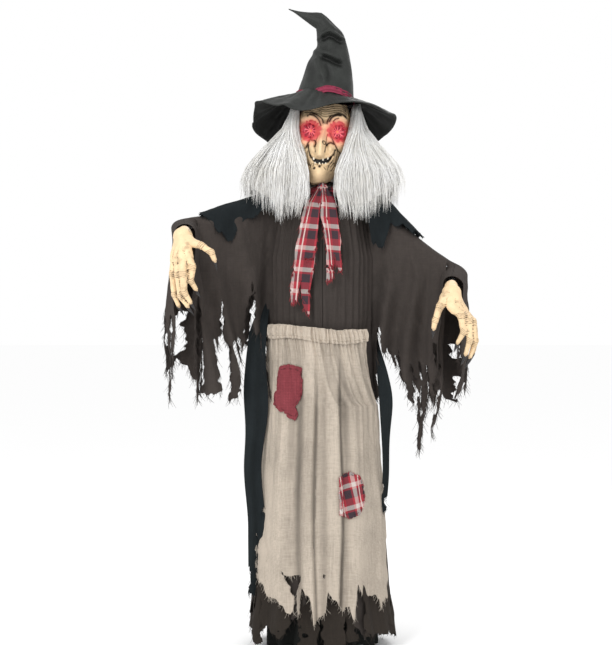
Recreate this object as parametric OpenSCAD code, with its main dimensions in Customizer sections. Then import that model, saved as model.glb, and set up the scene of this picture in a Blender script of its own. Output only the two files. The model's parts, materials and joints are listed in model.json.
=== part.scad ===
// Life-size animated witch figure: a free-standing pole figure with a motor-turned head,
// posable arms, turning hands, and cloth over a steel frame. Front is -Y, up is +Z.

/* [Figure] */
// Height from the floor to the tip of the hat
figure_h = 1800; // [1780:10:1840]
// Half of the distance between the two shoulder pivots
shoulder_half = 165; // [160:1:175]

/* [Stand] */
// Outside radius of the pole
pole_r = 12.7; // [12:0.1:13.5]
// Reach of each leg from the pole's centre
leg_reach = 145; // [130:1:146]
// Width of a leg's rectangular tube
leg_w = 30; // [24:1:34]
// Height of a leg's rectangular tube
leg_h = 16; // [14:1:20]

/* [Neck drive] */
// Gear module
gear_m = 1; // [0.9:0.05:1]
// Teeth on the gear that turns the head
head_teeth = 48; // [40:4:48]
// Teeth on the large wheel of the compound gear
wheel_teeth = 36; // [30:2:36]
// Teeth on the motor pinion and on the small wheel
pinion_teeth = 12; // [12:1:13]

/* [Control box] */
// Width of the control box
box_w = 110; // [108:1:120]
// Height of the control box
box_h = 150; // [148:1:160]
// Depth of the control box
box_d = 40; // [38:1:44]

/* [Clothes] */
// Thickness of the solids that stand for cloth
cloth_t = 4; // [3:0.5:5]
// Width of the plum patch on the apron
plum_patch_w = 86; // [70:1:95]
// Width of the plaid patch on the apron
plaid_patch_w = 80; // [60:1:85]

/* [Hidden] */

// Rounds and clearances
fn_round = 48;
run_gap = 0.05;
slip_gap = 0.1;
side_gap = 0.4;

// Heights that the parts share
shoulder_z = figure_h - 582;
gearbox_z = shoulder_z - 88;
head_z = shoulder_z + 87;
hat_z = head_z + 243;

// ---------------------------------------------------------------- shared shapes

// A sheet with thickness: outer and inner are equal grids of points. Seen from outside,
// rows run upwards and columns run to the right. wrap joins the last column to the first.
module skin(outer, inner, wrap = false) {
    rows = len(outer);
    cols = len(outer[0]);
    last = wrap ? cols - 1 : cols - 2;
    pts = concat([for (r = outer, p = r) p], [for (r = inner, p = r) p]);
    function o(i, j) = i * cols + j % cols;
    function n(i, j) = rows * cols + o(i, j);
    polyhedron(pts, concat(
        [for (i = [0:rows - 2], j = [0:last]) [o(i, j), o(i + 1, j + 1), o(i, j + 1)]],
        [for (i = [0:rows - 2], j = [0:last]) [o(i, j), o(i + 1, j), o(i + 1, j + 1)]],
        [for (i = [0:rows - 2], j = [0:last]) [n(i, j), n(i, j + 1), n(i + 1, j + 1)]],
        [for (i = [0:rows - 2], j = [0:last]) [n(i, j), n(i + 1, j + 1), n(i + 1, j)]],
        [for (j = [0:last]) [o(0, j), o(0, j + 1), n(0, j + 1)]],
        [for (j = [0:last]) [o(0, j), n(0, j + 1), n(0, j)]],
        [for (j = [0:last]) [o(rows - 1, j), n(rows - 1, j + 1), o(rows - 1, j + 1)]],
        [for (j = [0:last]) [o(rows - 1, j), n(rows - 1, j), n(rows - 1, j + 1)]],
        wrap ? [] : [for (i = [0:rows - 2]) [o(i, 0), n(i, 0), n(i + 1, 0)]],
        wrap ? [] : [for (i = [0:rows - 2]) [o(i, 0), n(i + 1, 0), o(i + 1, 0)]],
        wrap ? [] : [for (i = [0:rows - 2]) [o(i, cols - 1), n(i + 1, cols - 1), n(i, cols - 1)]],
        wrap ? [] : [for (i = [0:rows - 2]) [o(i, cols - 1), o(i + 1, cols - 1), n(i + 1, cols - 1)]]
    ));
}

// A shell that is open at its first ring and closed over its last one.
module cup(outer, inner) {
    cols = len(outer[0]);
    a = len(outer);
    b = len(inner);
    pts = concat([for (r = outer, p = r) p], [for (r = inner, p = r) p]);
    function o(i, j) = i * cols + j % cols;
    function n(i, j) = a * cols + i * cols + j % cols;
    polyhedron(pts, concat(
        [for (i = [0:a - 2], j = [0:cols - 1]) [o(i, j), o(i + 1, j + 1), o(i, j + 1)]],
        [for (i = [0:a - 2], j = [0:cols - 1]) [o(i, j), o(i + 1, j), o(i + 1, j + 1)]],
        [for (i = [0:b - 2], j = [0:cols - 1]) [n(i, j), n(i, j + 1), n(i + 1, j + 1)]],
        [for (i = [0:b - 2], j = [0:cols - 1]) [n(i, j), n(i + 1, j + 1), n(i + 1, j)]],
        [for (j = [0:cols - 1]) [o(0, j), o(0, j + 1), n(0, j + 1)]],
        [for (j = [0:cols - 1]) [o(0, j), n(0, j + 1), n(0, j)]],
        [for (j = [1:cols - 2]) [o(a - 1, 0), o(a - 1, j + 1), o(a - 1, j)]],
        [for (j = [1:cols - 2]) [n(b - 1, 0), n(b - 1, j), n(b - 1, j + 1)]]
    ));
}

// An elliptical ring of points: c is its centre, tilt leans it about the Y axis.
function ring(c, rx, ry, tilt = 0, from = 0, span = 360, cols = 40) =
    [for (j = [0:cols - 1])
        let (a = from + span * j / (span == 360 ? cols : cols - 1))
        [c.x + rx * cos(a) * cos(tilt), c.y + ry * sin(a), c.z - rx * cos(a) * sin(tilt)]];

// A value between the rows of a table whose first column rises.
function between(table, z, col) = lookup(z, [for (r = table) [r[0], r[col]]]);

// A round bar between two points.
module bar(a, b, r, fn = 32) {
    v = b - a;
    translate(a)
        rotate([0, acos(v.z / norm(v)), atan2(v.y, v.x)])
            cylinder(r = r, h = norm(v), $fn = fn);
}

// A ball that fills a bend, with its poles along X so that no bar leaves through one.
module bend_ball(at, r, fn) {
    translate(at) rotate([0, 90, 0]) sphere(r = r, $fn = fn);
}

// A wire through points: one ring of corners square to its path at each point, and an end cap.
wire_sides = 10;
module run(points, r) {
    last = len(points) - 1;
    rings = [for (i = [0:last])
        let (d = unit(points[min(i + 1, last)] - points[max(i - 1, 0)]),
             u = unit(cross(d, [0.3, 1, 0.1])), v = cross(d, u))
        for (k = [0:wire_sides - 1])
            points[i] + r * (cos(360 * k / wire_sides) * u + sin(360 * k / wire_sides) * v)];
    sides = [for (i = [0:last - 1], k = [0:wire_sides - 1])
        let (a = i * wire_sides, b = a + wire_sides, n = (k + 1) % wire_sides)
        [a + k, b + k, b + n, a + n]];
    caps = [[for (k = [0:wire_sides - 1]) k],
            [for (k = [wire_sides - 1:-1:0]) last * wire_sides + k]];
    polyhedron(rings, concat(sides, caps));
}

// A long round-ended block that spans from the origin to x = reach.
module stadium(r, reach, h) {
    cylinder(r = r, h = h, $fn = fn_round);
    translate([reach, 0, 0]) cylinder(r = r, h = h, $fn = fn_round);
    translate([0, -r, 0]) cube([reach, 2 * r, h]);
}

// A pan-head screw whose head rests at z = 0 and whose shank points down.
module screw(r, length, head_r, head_h) {
    cylinder(r = head_r, h = head_h, $fn = 24);
    translate([0, 0, -length]) cylinder(r = r, h = length, $fn = 24);
}

// ---------------------------------------------------------------- floor stand

hub_r = 45;
hub_h = 18;
socket_r = pole_r + 4;
socket_h = 95;
pole_floor = 4;
leg_wall = 2;
stub_end = 85;
cap_flange = 3;
leg_angles = [45, 135, 225, 315];

module at_legs() {
    for (a = leg_angles) rotate([0, 0, a]) children();
}

module base_hub() {
    color("#26282b")
        difference() {
            union() {
                cylinder(r = hub_r, h = hub_h, $fn = 64);
                cylinder(r = socket_r, h = socket_h, $fn = fn_round);
                at_legs()
                    translate([hub_r - 8, -leg_w / 2 + leg_wall + slip_gap, leg_wall + slip_gap])
                        cube([stub_end - hub_r + 8, leg_w - 2 * leg_wall - 2 * slip_gap,
                              leg_h - 2 * leg_wall - 2 * slip_gap]);
            }
            translate([0, 0, pole_floor])
                cylinder(r = pole_r + slip_gap, h = socket_h, $fn = fn_round);
            at_legs() translate([stub_end - 15, 0, 4]) cylinder(r = 2.5, h = 30, $fn = 24);
        }
}

module base_legs() {
    color("#2b2d30")
        at_legs()
            difference() {
                translate([hub_r + 1, -leg_w / 2, 0])
                    cube([leg_reach - cap_flange - hub_r - 1, leg_w, leg_h]);
                translate([hub_r, -leg_w / 2 + leg_wall, leg_wall])
                    cube([leg_reach, leg_w - 2 * leg_wall, leg_h - 2 * leg_wall]);
                translate([stub_end - 15, 0, leg_h / 2]) cylinder(r = 2.7, h = leg_h, $fn = 24);
            }
}

module leg_caps() {
    color("#151515")
        at_legs() {
            translate([leg_reach - cap_flange, -leg_w / 2, 0]) cube([cap_flange, leg_w, leg_h]);
            translate([leg_reach - 16, -leg_w / 2 + leg_wall + slip_gap, leg_wall + slip_gap])
                cube([14, leg_w - 2 * leg_wall - 2 * slip_gap,
                      leg_h - 2 * leg_wall - 2 * slip_gap]);
        }
}

module base_screws() {
    color("#b9bcc0")
        at_legs() translate([stub_end - 15, 0, leg_h]) screw(2.4, leg_h - 5, 4.5, 3);
}

// ---------------------------------------------------------------- pole

pole_in = pole_r - 1.2;
spigot_r = pole_in - 0.2;
spigot_in = spigot_r - 1.5;
spigot_l = 60;
pole_top = gearbox_z - 2;
joint_low = 420;
joint_high = 790;
button_r = 4;
button_drop = 30;

module snap_hole(joint_z) {
    translate([0, 0, joint_z - button_drop])
        rotate([-90, 0, 0]) cylinder(r = button_r + slip_gap, h = pole_r + 5, $fn = 32);
}

module pole_section(low, high, spigot, socket_joint = 0) {
    difference() {
        union() {
            translate([0, 0, low]) cylinder(r = pole_r, h = high - low, $fn = fn_round);
            if (spigot) translate([0, 0, low - spigot_l])
                cylinder(r = spigot_r, h = spigot_l + 1, $fn = fn_round);
        }
        translate([0, 0, low + (spigot ? 2 : -1)])
            cylinder(r = pole_in, h = high - low + 2, $fn = fn_round);
        if (spigot) {
            translate([0, 0, low - spigot_l - 1])
                cylinder(r = spigot_in, h = spigot_l + 4, $fn = fn_round);
            snap_hole(low);
        }
        if (socket_joint > 0) snap_hole(socket_joint);
    }
}

module pole_lower() {
    color("#3a3c40") pole_section(pole_floor + slip_gap, joint_low, false, joint_low);
}

module pole_middle() {
    color("#3a3c40") pole_section(joint_low + slip_gap, joint_high, true, joint_high);
}

module pole_upper() {
    color("#3a3c40")
        difference() {
            pole_section(joint_high + slip_gap, pole_top, true);
            translate([0, 0, lead_z]) rotate([-90, 0, 0]) cylinder(r = lead_hole, h = 24, $fn = 24);
        }
}

module snap_button(joint_z) {
    color("#c4c7ca")
        translate([0, 0, joint_z - button_drop])
            rotate([-90, 0, 0]) {
                translate([0, 0, 6]) cylinder(r = 5.4, h = 1.5, $fn = 32);
                translate([0, 0, 7]) cylinder(r = button_r, h = pole_r - 5, $fn = 32);
                translate([0, 0, pole_r + 2]) cylinder(r1 = button_r, r2 = 2.5, h = 1, $fn = 32);
            }
}

module snap_button_low() {
    snap_button(joint_low);
}

module snap_button_high() {
    snap_button(joint_high);
}

// ---------------------------------------------------------------- control box

box_z = gearbox_z - 170;
box_y = 18;
box_wall = 2.5;
cover_y = box_y + box_d;
cover_t = 2.5;
boss_x = box_w / 2 - 6;
boss_dz = 6;
door_x0 = -44;
door_x1 = 14;
door_z0 = box_z + 6;
door_z1 = box_z + 74;
cell_r = 7.1;
cell_h = 50.5;
cell_xs = [-32, -16, 0];
cell_y = 44;
cell_z = box_z + 11;
speaker_at = [31, box_z + 34];
speaker_r = 19;
button_at = [-26, box_z + 122];
switch_at = [26, box_z + 122];
switch_throw = 8;
wire_r = 1.3;
lead_z = box_z + 92;
lead_hole = 3;

module at_corners() {
    for (x = [-boss_x, boss_x], z = [box_z + boss_dz, box_z + box_h - boss_dz])
        translate([x, 0, z]) rotate([-90, 0, 0]) children();
}

module box_case() {
    color("#1d1e20")
        difference() {
            union() {
                difference() {
                    translate([-box_w / 2, box_y, box_z]) cube([box_w, box_d, box_h]);
                    translate([-box_w / 2 + box_wall, box_y + box_wall, box_z + box_wall])
                        cube([box_w - 2 * box_wall, box_d, box_h - 2 * box_wall]);
                }
                at_corners() translate([0, 0, box_y + 1]) cylinder(r = 4, h = box_d - 1, $fn = 24);
                for (dz = [24, box_h - 44])
                    translate([0, 0, box_z + dz]) {
                        cylinder(r = pole_r + 4, h = 20, $fn = fn_round);
                        translate([-8, pole_r, 0]) cube([16, box_y - pole_r + 1, 20]);
                    }
            }
            translate([0, 0, box_z])
                cylinder(r = pole_r + slip_gap, h = box_h, $fn = fn_round);
            at_corners() translate([0, 0, cover_y - 14]) cylinder(r = 1.4, h = 20, $fn = 24);
            translate([0, 0, lead_z]) rotate([-90, 0, 0]) cylinder(r = lead_hole, h = 24, $fn = 24);
        }
}

module grille_holes() {
    translate([speaker_at.x, cover_y - 1, speaker_at[1]])
        rotate([-90, 0, 0]) {
            cylinder(r = 1.6, h = 9, $fn = 16);
            for (k = [1:2], i = [0:6 * k - 1])
                rotate([0, 0, 60 * i / k]) translate([6 * k, 0, 0])
                    cylinder(r = 1.6, h = 9, $fn = 16);
        }
}

module box_cover() {
    color("#222326")
        difference() {
            union() {
                translate([-box_w / 2, cover_y, box_z]) cube([box_w, cover_t, box_h]);
                // Rails at both sides of the battery door, open at the bottom
                for (s = [0, 1])
                    translate([s == 0 ? door_x0 - 3.6 : door_x1 + 0.4, cover_y + cover_t,
                               door_z0 - 2]) {
                        cube([3.2, 4.4, door_z1 - door_z0 + 4]);
                        translate([-2 * s, 3, 0]) cube([5.2, 1.4, door_z1 - door_z0 + 4]);
                    }
            }
            translate([door_x0 + 5, cover_y - 1, door_z0 + 5])
                cube([door_x1 - door_x0 - 10, cover_t + 2, door_z1 - door_z0 - 10]);
            grille_holes();
            translate([button_at.x, cover_y - 1, button_at[1]])
                rotate([-90, 0, 0]) cylinder(r = 6.3, h = cover_t + 2, $fn = 32);
            translate([switch_at.x - 8, cover_y - 1, switch_at[1] - 2.4])
                cube([16, cover_t + 2, 4.8]);
            at_corners() translate([0, 0, cover_y - 1]) cylinder(r = 1.7, h = 9, $fn = 24);
            // Room for the screw heads beside the rails
            at_corners() translate([0, 0, cover_y + cover_t]) cylinder(r = 3.4, h = 6, $fn = 24);
        }
}

module cover_screws() {
    color("#b9bcc0")
        at_corners() translate([0, 0, cover_y + cover_t]) screw(1.3, 12, 3, 1.8);
}

module battery_door() {
    color("#2c2d30")
        difference() {
            translate([door_x0, cover_y + cover_t + 0.3, door_z0])
                cube([door_x1 - door_x0, 2.2, door_z1 - door_z0]);
            for (k = [0:2])
                translate([(door_x0 + door_x1) / 2 - 14, cover_y + cover_t + 1.9, door_z0 + 8 + 4 * k])
                    cube([28, 2, 1.6]);
        }
}

module batteries() {
    color("#3f6b4f")
        for (x = cell_xs)
            translate([x, cell_y, cell_z]) {
                cylinder(r = cell_r, h = cell_h - 1.5, $fn = 32);
                cylinder(r = 2.6, h = cell_h, $fn = 24);
            }
}

module battery_springs() {
    spring_z = cell_z - 5;
    color("#c9ccd0")
        for (x = cell_xs)
            translate([x, cell_y, spring_z])
                for (k = [0:2])
                    translate([0, 0, 1 + 1.55 * k])
                        rotate_extrude($fn = 24) translate([3.4 + 0.3 * k, 0]) circle(r = 0.7, $fn = 16);
}

module circuit_board() {
    color("#2f6b3c") translate([-46, 26, box_z + 84]) cube([92, 1.6, 56]);
    color("#1a1a1a") {
        translate([-8, 27.8, box_z + 104]) cube([18, 2.5, 12]);
        translate([24, 27.8, box_z + 96]) rotate([-90, 0, 0]) cylinder(r = 4, h = 11, $fn = 24);
        translate([-34, 27.8, box_z + 96]) rotate([-90, 0, 0]) cylinder(r = 3, h = 6, $fn = 24);
    }
    color("#c9ccd0")
        translate([button_at.x, 27.8, button_at[1]])
            rotate([-90, 0, 0]) cylinder(r = 3.5, h = 20, $fn = 24);
    color("#c9ccd0")
        translate([switch_at.x - 9, 27.8, switch_at[1] - 4]) cube([18, 22, 8]);
}

module speaker() {
    color("#303236")
        translate([speaker_at.x, 0, speaker_at[1]])
            rotate([-90, 0, 0])
                rotate_extrude($fn = fn_round)
                    polygon([[0, 34], [9, 34], [9, 42], [speaker_r - 3, 52], [speaker_r, 52],
                             [speaker_r, 56], [speaker_r - 3, 56], [6, 50], [0, 51]]);
}

module power_switch() {
    color("#c23a2e")
        translate([switch_at.x - switch_throw / 2 - 2.5, 50.2, switch_at[1] - 2])
            cube([5, cover_y + cover_t + 3 - 50.2, 4]);
}

module try_button() {
    color("#b52d28")
        translate([button_at.x, 0, button_at[1]])
            rotate([-90, 0, 0]) {
                translate([0, 0, cover_y - 2.4]) cylinder(r = 8, h = 2, $fn = 32);
                translate([0, 0, cover_y - 1]) cylinder(r = 6, h = cover_t + 4, $fn = 32);
            }
}

// One lead climbs inside the pole and the hollow neck shaft; the other goes to the motor.
module body_wiring() {
    color("#7a1d1d")
        run([[0, 25.5, lead_z], [0, 0, lead_z], [0, 0, head_z + 20]], wire_r);
    color("#202020")
        run([[48, box_y - 0.4, box_z + box_h - 24], [48, 8, box_z + box_h - 22],
             [motor_x, 5, gearbox_z - motor_h - 10], [motor_x, 5, gearbox_z - motor_h - 0.5]],
            wire_r);
}

// ---------------------------------------------------------------- neck drive

pressure = 25;
backlash = 0.14;
head_c = gear_m * (head_teeth + pinion_teeth) / 2;
motor_c = gear_m * (wheel_teeth + pinion_teeth) / 2;
motor_x = head_c + motor_c;
case_r = 31;
case_reach = 40;
case_wall = 3;
case_floor = 4;
case_h = 32;
cover_h = 4;
low_gear_z = gearbox_z + 10;
high_gear_z = gearbox_z + 18;
low_gear_h = 7;
high_gear_h = 6;
shaft_r = 6;
bush_r = 8.5;
ear_y = case_r + 3;
gear_pin_r = 2;
motor_r = 12;
motor_h = 32;

// The outline of an involute gear, one tooth centred on the angle turn.
function deg_inv(a) = tan(a) * 180 / PI - a;
function polar(r, a) = [r * cos(a), r * sin(a)];
function gear_outline(teeth, turn) =
    let (
        rp = gear_m * teeth / 2,
        rb = rp * cos(pressure),
        ra = rp + 0.9 * gear_m,
        rf = rp - 1.2 * gear_m,
        low = max(rb, rf),
        half = 90 / teeth - backlash / rp * 180 / PI / 2 + deg_inv(pressure),
        radii = [for (k = [0:3]) low + (ra - low) * k / 3],
        off = [for (r = radii) half - deg_inv(acos(min(1, rb / r)))]
    )
    [for (t = [0:teeth - 1])
        let (mid = turn + 360 * t / teeth)
        each concat(
            rf < rb ? [polar(rf, mid - off[0])] : [],
            [for (k = [0:3]) polar(radii[k], mid - off[k])],
            [for (k = [3:-1:0]) polar(radii[k], mid + off[k])],
            rf < rb ? [polar(rf, mid + off[0])] : []
        )];

module gear(teeth, h, turn, bore) {
    linear_extrude(h)
        difference() {
            polygon(gear_outline(teeth, turn));
            circle(r = bore, $fn = 40);
        }
}

module at_ears() {
    for (x = [0, case_reach], y = [-ear_y, ear_y]) translate([x, y, 0]) children();
}

module gearbox_case() {
    color("#1f2123")
        translate([0, 0, gearbox_z])
            difference() {
                union() {
                    difference() {
                        stadium(case_r, case_reach, case_h);
                        translate([0, 0, case_floor])
                            stadium(case_r - case_wall, case_reach, case_h);
                    }
                    translate([0, 0, case_floor - 1]) cylinder(r = 12, h = 6, $fn = fn_round);
                    at_ears() cylinder(r = 5, h = case_h, $fn = 24);
                    translate([0, 0, -35]) cylinder(r = pole_r + 4, h = 36, $fn = fn_round);
                }
                translate([0, 0, case_floor]) cylinder(r = bush_r, h = 10, $fn = fn_round);
                translate([0, 0, -36])
                    cylinder(r = pole_r + slip_gap, h = 35, $fn = fn_round);
                at_ears() translate([0, 0, case_h - 14]) cylinder(r = 1.5, h = 20, $fn = 24);
                translate([head_c, 0, 1]) cylinder(r = gear_pin_r, h = 20, $fn = 24);
                translate([motor_x, 0, -1]) cylinder(r = 3, h = 20, $fn = 24);
                translate([0, 0, -10]) cylinder(r = lead_hole, h = 20, $fn = 24);
            }
}

module gearbox_cover() {
    color("#26282a")
        translate([0, 0, gearbox_z + case_h])
            difference() {
                union() {
                    stadium(case_r, case_reach, cover_h);
                    at_ears() cylinder(r = 5, h = cover_h, $fn = 24);
                    translate([0, 0, -6]) cylinder(r = 10.5, h = 7, $fn = fn_round);
                }
                translate([0, 0, -7]) cylinder(r = bush_r, h = 20, $fn = fn_round);
                at_ears() translate([0, 0, -1]) cylinder(r = 1.7, h = 20, $fn = 24);
                translate([head_c, 0, -1]) cylinder(r = gear_pin_r, h = 3, $fn = 24);
            }
}

module gearbox_screws() {
    color("#b9bcc0")
        translate([0, 0, gearbox_z + case_h + cover_h]) at_ears() screw(1.4, 16, 3, 2);
}

module motor() {
    color("#9da1a6")
        translate([motor_x, 0, gearbox_z - motor_h])
            difference() {
                cylinder(r = motor_r, h = motor_h, $fn = fn_round);
                translate([0, 0, motor_h - 8]) cylinder(r = 1.2, h = 9, $fn = 24);
            }
}

// The small wheel meshes with the head gear, so a gap faces the head gear's tooth.
small_turn = 180 + 180 / pinion_teeth;
wheel_turn = 0;
motor_turn = 180 + 180 / pinion_teeth;

module motor_pinion() {
    color("#d9c27a")
        translate([motor_x, 0, high_gear_z]) {
            gear(pinion_teeth, high_gear_h, motor_turn, 0.9);
            translate([0, 0, -24]) cylinder(r = 1, h = 24 + high_gear_h, $fn = 24);
        }
}

module compound_gear() {
    hub_r2 = 4;
    bore = gear_pin_r + run_gap;
    color("#e8e4d8")
        translate([head_c, 0, 0]) {
            translate([0, 0, low_gear_z]) gear(pinion_teeth, low_gear_h, small_turn, bore);
            translate([0, 0, high_gear_z - 1])
                gear(wheel_teeth, high_gear_h, wheel_turn, bore);
            translate([0, 0, gearbox_z + case_floor + side_gap])
                difference() {
                    cylinder(r = hub_r2, h = low_gear_z - gearbox_z - case_floor - side_gap, $fn = 32);
                    translate([0, 0, -1]) cylinder(r = bore, h = 20, $fn = 40);
                }
            translate([0, 0, high_gear_z - 1 + high_gear_h])
                difference() {
                    cylinder(r = hub_r2, h = 8, $fn = 32);
                    translate([0, 0, -1]) cylinder(r = bore, h = 20, $fn = 40);
                }
        }
}

module gear_pin() {
    color("#c4c7ca")
        translate([head_c, 0, gearbox_z + 1])
            cylinder(r = gear_pin_r, h = case_h + 1, $fn = 32);
}

module neck_bushes() {
    color("#a98243")
        for (s = [[gearbox_z + case_floor, 5], [gearbox_z + case_h - 6, 10]])
            translate([0, 0, s[0]])
                difference() {
                    cylinder(r = bush_r, h = s[1], $fn = fn_round);
                    translate([0, 0, -1])
                        cylinder(r = shaft_r + run_gap, h = 20, $fn = fn_round);
                }
}

// ---------------------------------------------------------------- shoulders

frame_z = gearbox_z + case_h + cover_h;
bar_half = 10;
lug_z = shoulder_z - 8;
lug_t = 6;
eye_r = 13;
bolt_r = 4;
bar_end = shoulder_half - eye_r - 2;

module shoulder_frame() {
    color("#303236")
        difference() {
            union() {
                translate([0, 0, frame_z]) cylinder(r = 25, h = 3, $fn = fn_round);
                translate([0, 0, frame_z])
                    cylinder(r = 14, h = shoulder_z - frame_z, $fn = fn_round);
                translate([-bar_end, -bar_half, shoulder_z - 2])
                    cube([2 * bar_end, 2 * bar_half, 2 * bar_half]);
                for (s = [-1, 1]) {
                    translate([s * shoulder_half, 0, lug_z])
                        cylinder(r = eye_r, h = lug_t, $fn = fn_round);
                    translate([s > 0 ? bar_end - 30 : -shoulder_half, -eye_r, lug_z])
                        cube([shoulder_half - bar_end + 30, 2 * eye_r, lug_t]);
                }
            }
            translate([0, 0, frame_z - 1])
                cylinder(r = shaft_r + 2, h = 100, $fn = fn_round);
            // The bar is a square tube, open at both ends
            for (s = [-1, 1])
                translate([s > 0 ? 16 : -bar_end - 1, -bar_half + 1.5, shoulder_z - 0.5])
                    cube([bar_end - 15, 2 * bar_half - 3, 2 * bar_half - 3]);
            for (s = [-1, 1])
                translate([s * shoulder_half, 0, lug_z - 1])
                    cylinder(r = bolt_r + slip_gap, h = 20, $fn = fn_round);
        }
}

eye_z = lug_z + lug_t + side_gap;
eye_t = 6;

module shoulder_bolts() {
    color("#b9bcc0")
        for (s = [-1, 1])
            translate([s * shoulder_half, 0, 0]) {
                translate([0, 0, lug_z - side_gap - 5]) cylinder(r = 7, h = 5, $fn = 24);
                translate([0, 0, lug_z - side_gap - 1])
                    cylinder(r = bolt_r, h = eye_z + eye_t + 7 - lug_z + side_gap + 1, $fn = 32);
                translate([0, 0, eye_z + eye_t + side_gap]) {
                    cylinder(r = 6, h = 6, $fn = 24);
                    translate([-1.25, -13, 1]) cube([2.5, 26, 7]);
                }
            }
}

// ---------------------------------------------------------------- arms and hands

arm_r = 8;
socket_in = 6.5;
plug_r = 6.4;
elbow_right = [-376, -92, shoulder_z - 42];
wrist_right = [-374, -242, shoulder_z - 70];
elbow_left = [366, -48, shoulder_z - 170];
wrist_left = [350, -176, shoulder_z - 220];

module arm(side, elbow, wrist) {
    pin = [side * shoulder_half, 0, eye_z];
    flat = unit([elbow.x, elbow.y, 0] - [pin.x, pin.y, 0]);
    start = pin + flat * (eye_r + 3) + [0, 0, eye_t / 2 + 1];
    along = unit(wrist - elbow);
    color("#5a5d61")
        difference() {
            union() {
                translate(pin) cylinder(r = eye_r, h = eye_t, $fn = fn_round);
                translate(pin) rotate([0, 0, atan2(flat.y, flat.x)])
                    translate([0, -7, 0]) cube([eye_r + 12, 14, eye_t]);
                bend_ball(start, arm_r + 1.5, 32);
                bar(start, elbow, arm_r);
                bend_ball(elbow, arm_r + 1.5, 32);
                bar(elbow, wrist, arm_r);
            }
            translate(pin - [0, 0, 1])
                cylinder(r = bolt_r + slip_gap, h = eye_t + 2, $fn = fn_round);
            translate(pin + [0, 0, eye_t]) cylinder(r = 14.5, h = 20, $fn = fn_round);
            translate(pin - [0, 0, 20]) cylinder(r = 13.6, h = 20, $fn = fn_round);
            bar(wrist - along * 45, wrist + along, socket_in);
        }
}

function unit(v) = v / norm(v);

module arm_right() {
    arm(-1, elbow_right, wrist_right);
}

module arm_left() {
    arm(1, elbow_left, wrist_left);
}

// Each finger is a row of [x, y, z, radius] from the wrist. The last entry is the nail's tip.
fingers_right = [
    [[12, -28, -20, 15], [52, -44, -34, 10], [78, -52, -52, 9], [88, -50, -76, 6], [94, -46, -102, 1]],
    [[14, -52, -52, 14], [28, -66, -92, 12], [24, -60, -128, 9], [38, -44, -152, 6], [50, -34, -174, 1]],
    [[2, -54, -62, 13], [4, -70, -110, 10], [8, -62, -160, 9], [24, -46, -186, 6], [36, -36, -208, 1]],
    [[-10, -48, -62, 12], [-10, -58, -112, 10], [-4, -50, -168, 9], [16, -36, -198, 6], [32, -28, -220, 1]],
    [[-20, -38, -58, 11], [-26, -42, -108, 9], [-22, -36, -164, 8], [-10, -26, -196, 6], [4, -20, -220, 1]]
];
fingers_left = [
    [[-15, -26, -20, 15], [-33, -40, -44, 11], [-46, -44, -81, 9], [-51, -38, -107, 6], [-53, -34, -133, 1]],
    [[-2, -46, -44, 14], [22, -62, -70, 11], [29, -58, -113, 9], [13, -44, -144, 6], [4, -36, -170, 1]],
    [[11, -44, -48, 13], [42, -56, -83, 10], [46, -52, -137, 9], [35, -40, -177, 6], [22, -32, -207, 1]],
    [[20, -36, -48, 12], [55, -42, -89, 10], [59, -38, -146, 8], [48, -28, -185, 6], [35, -22, -216, 1]],
    [[24, -26, -44, 11], [59, -26, -87, 9], [66, -22, -137, 8], [59, -14, -172, 6], [48, -10, -201, 1]]
];
hand_fn = 10;

module ball(p) {
    translate([p.x, p.y, p.z]) sphere(r = p[3], $fn = hand_fn);
}

module hand(wrist, elbow, fingers) {
    along = unit(wrist - elbow);
    ahead = [0, -15, -9, 17];
    color("#e0c08c") {
        bar(wrist - along * 38, wrist + along * 2, plug_r, 24);
        translate(wrist + along * 0.5) {
            hull() {
                rotate([0, acos(along.z), atan2(along.y, along.x)])
                    cylinder(r = 17, h = 1, $fn = 20);
                ball(ahead);
            }
            for (f = fingers) hull() {
                ball(ahead);
                ball(f[0]);
            }
            for (f = fingers, k = [0:2]) hull() {
                ball(f[k]);
                ball(f[k + 1]);
            }
            for (k = [1:3]) hull() {
                ball(fingers[k][0]);
                ball(fingers[k + 1][0]);
            }
        }
    }
}

module nails(wrist, elbow, fingers) {
    along = unit(wrist - elbow);
    color("#16130f")
        translate(wrist + along * 0.5)
            for (f = fingers) {
                base = [f[3].x, f[3].y, f[3].z];
                tip = [f[4].x, f[4].y, f[4].z];
                v = unit(tip - base);
                start = base + v * (f[3][3] + 0.4);
                length = norm(tip - start);
                translate(start)
                    rotate([0, acos(v.z), atan2(v.y, v.x)])
                        cylinder(r1 = 4.4, r2 = 0.8, h = length, $fn = 16);
            }
}

module hand_right() {
    hand(wrist_right, elbow_right, fingers_right);
}

module hand_left() {
    hand(wrist_left, elbow_left, fingers_left);
}

module nails_right() {
    nails(wrist_right, elbow_right, fingers_right);
}

module nails_left() {
    nails(wrist_left, elbow_left, fingers_left);
}

// A sleeve is a cloth hung over the arm: its front and back layers drop from the arm's line.
// Each row of stops is [centre x, centre y, top z, hem z], from the shoulder outwards.
sleeve_half = 30;
stops_right = [
    [-180, -5, shoulder_z + 24, 730], [-250, -36, shoulder_z + 9, 706],
    [-320, -68, shoulder_z - 6, 690], [-370, -94, shoulder_z - 18, 682],
    [-385, -134, shoulder_z - 32, 680], [-382, -184, shoulder_z - 42, 700]
];
stops_left = [
    [180, -5, shoulder_z + 24, 640], [225, -14, shoulder_z - 15, 615],
    [280, -27, shoulder_z - 66, 602], [330, -38, shoulder_z - 112, 600],
    [366, -62, shoulder_z - 146, 630], [369, -106, shoulder_z - 166, 690]
];

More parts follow.
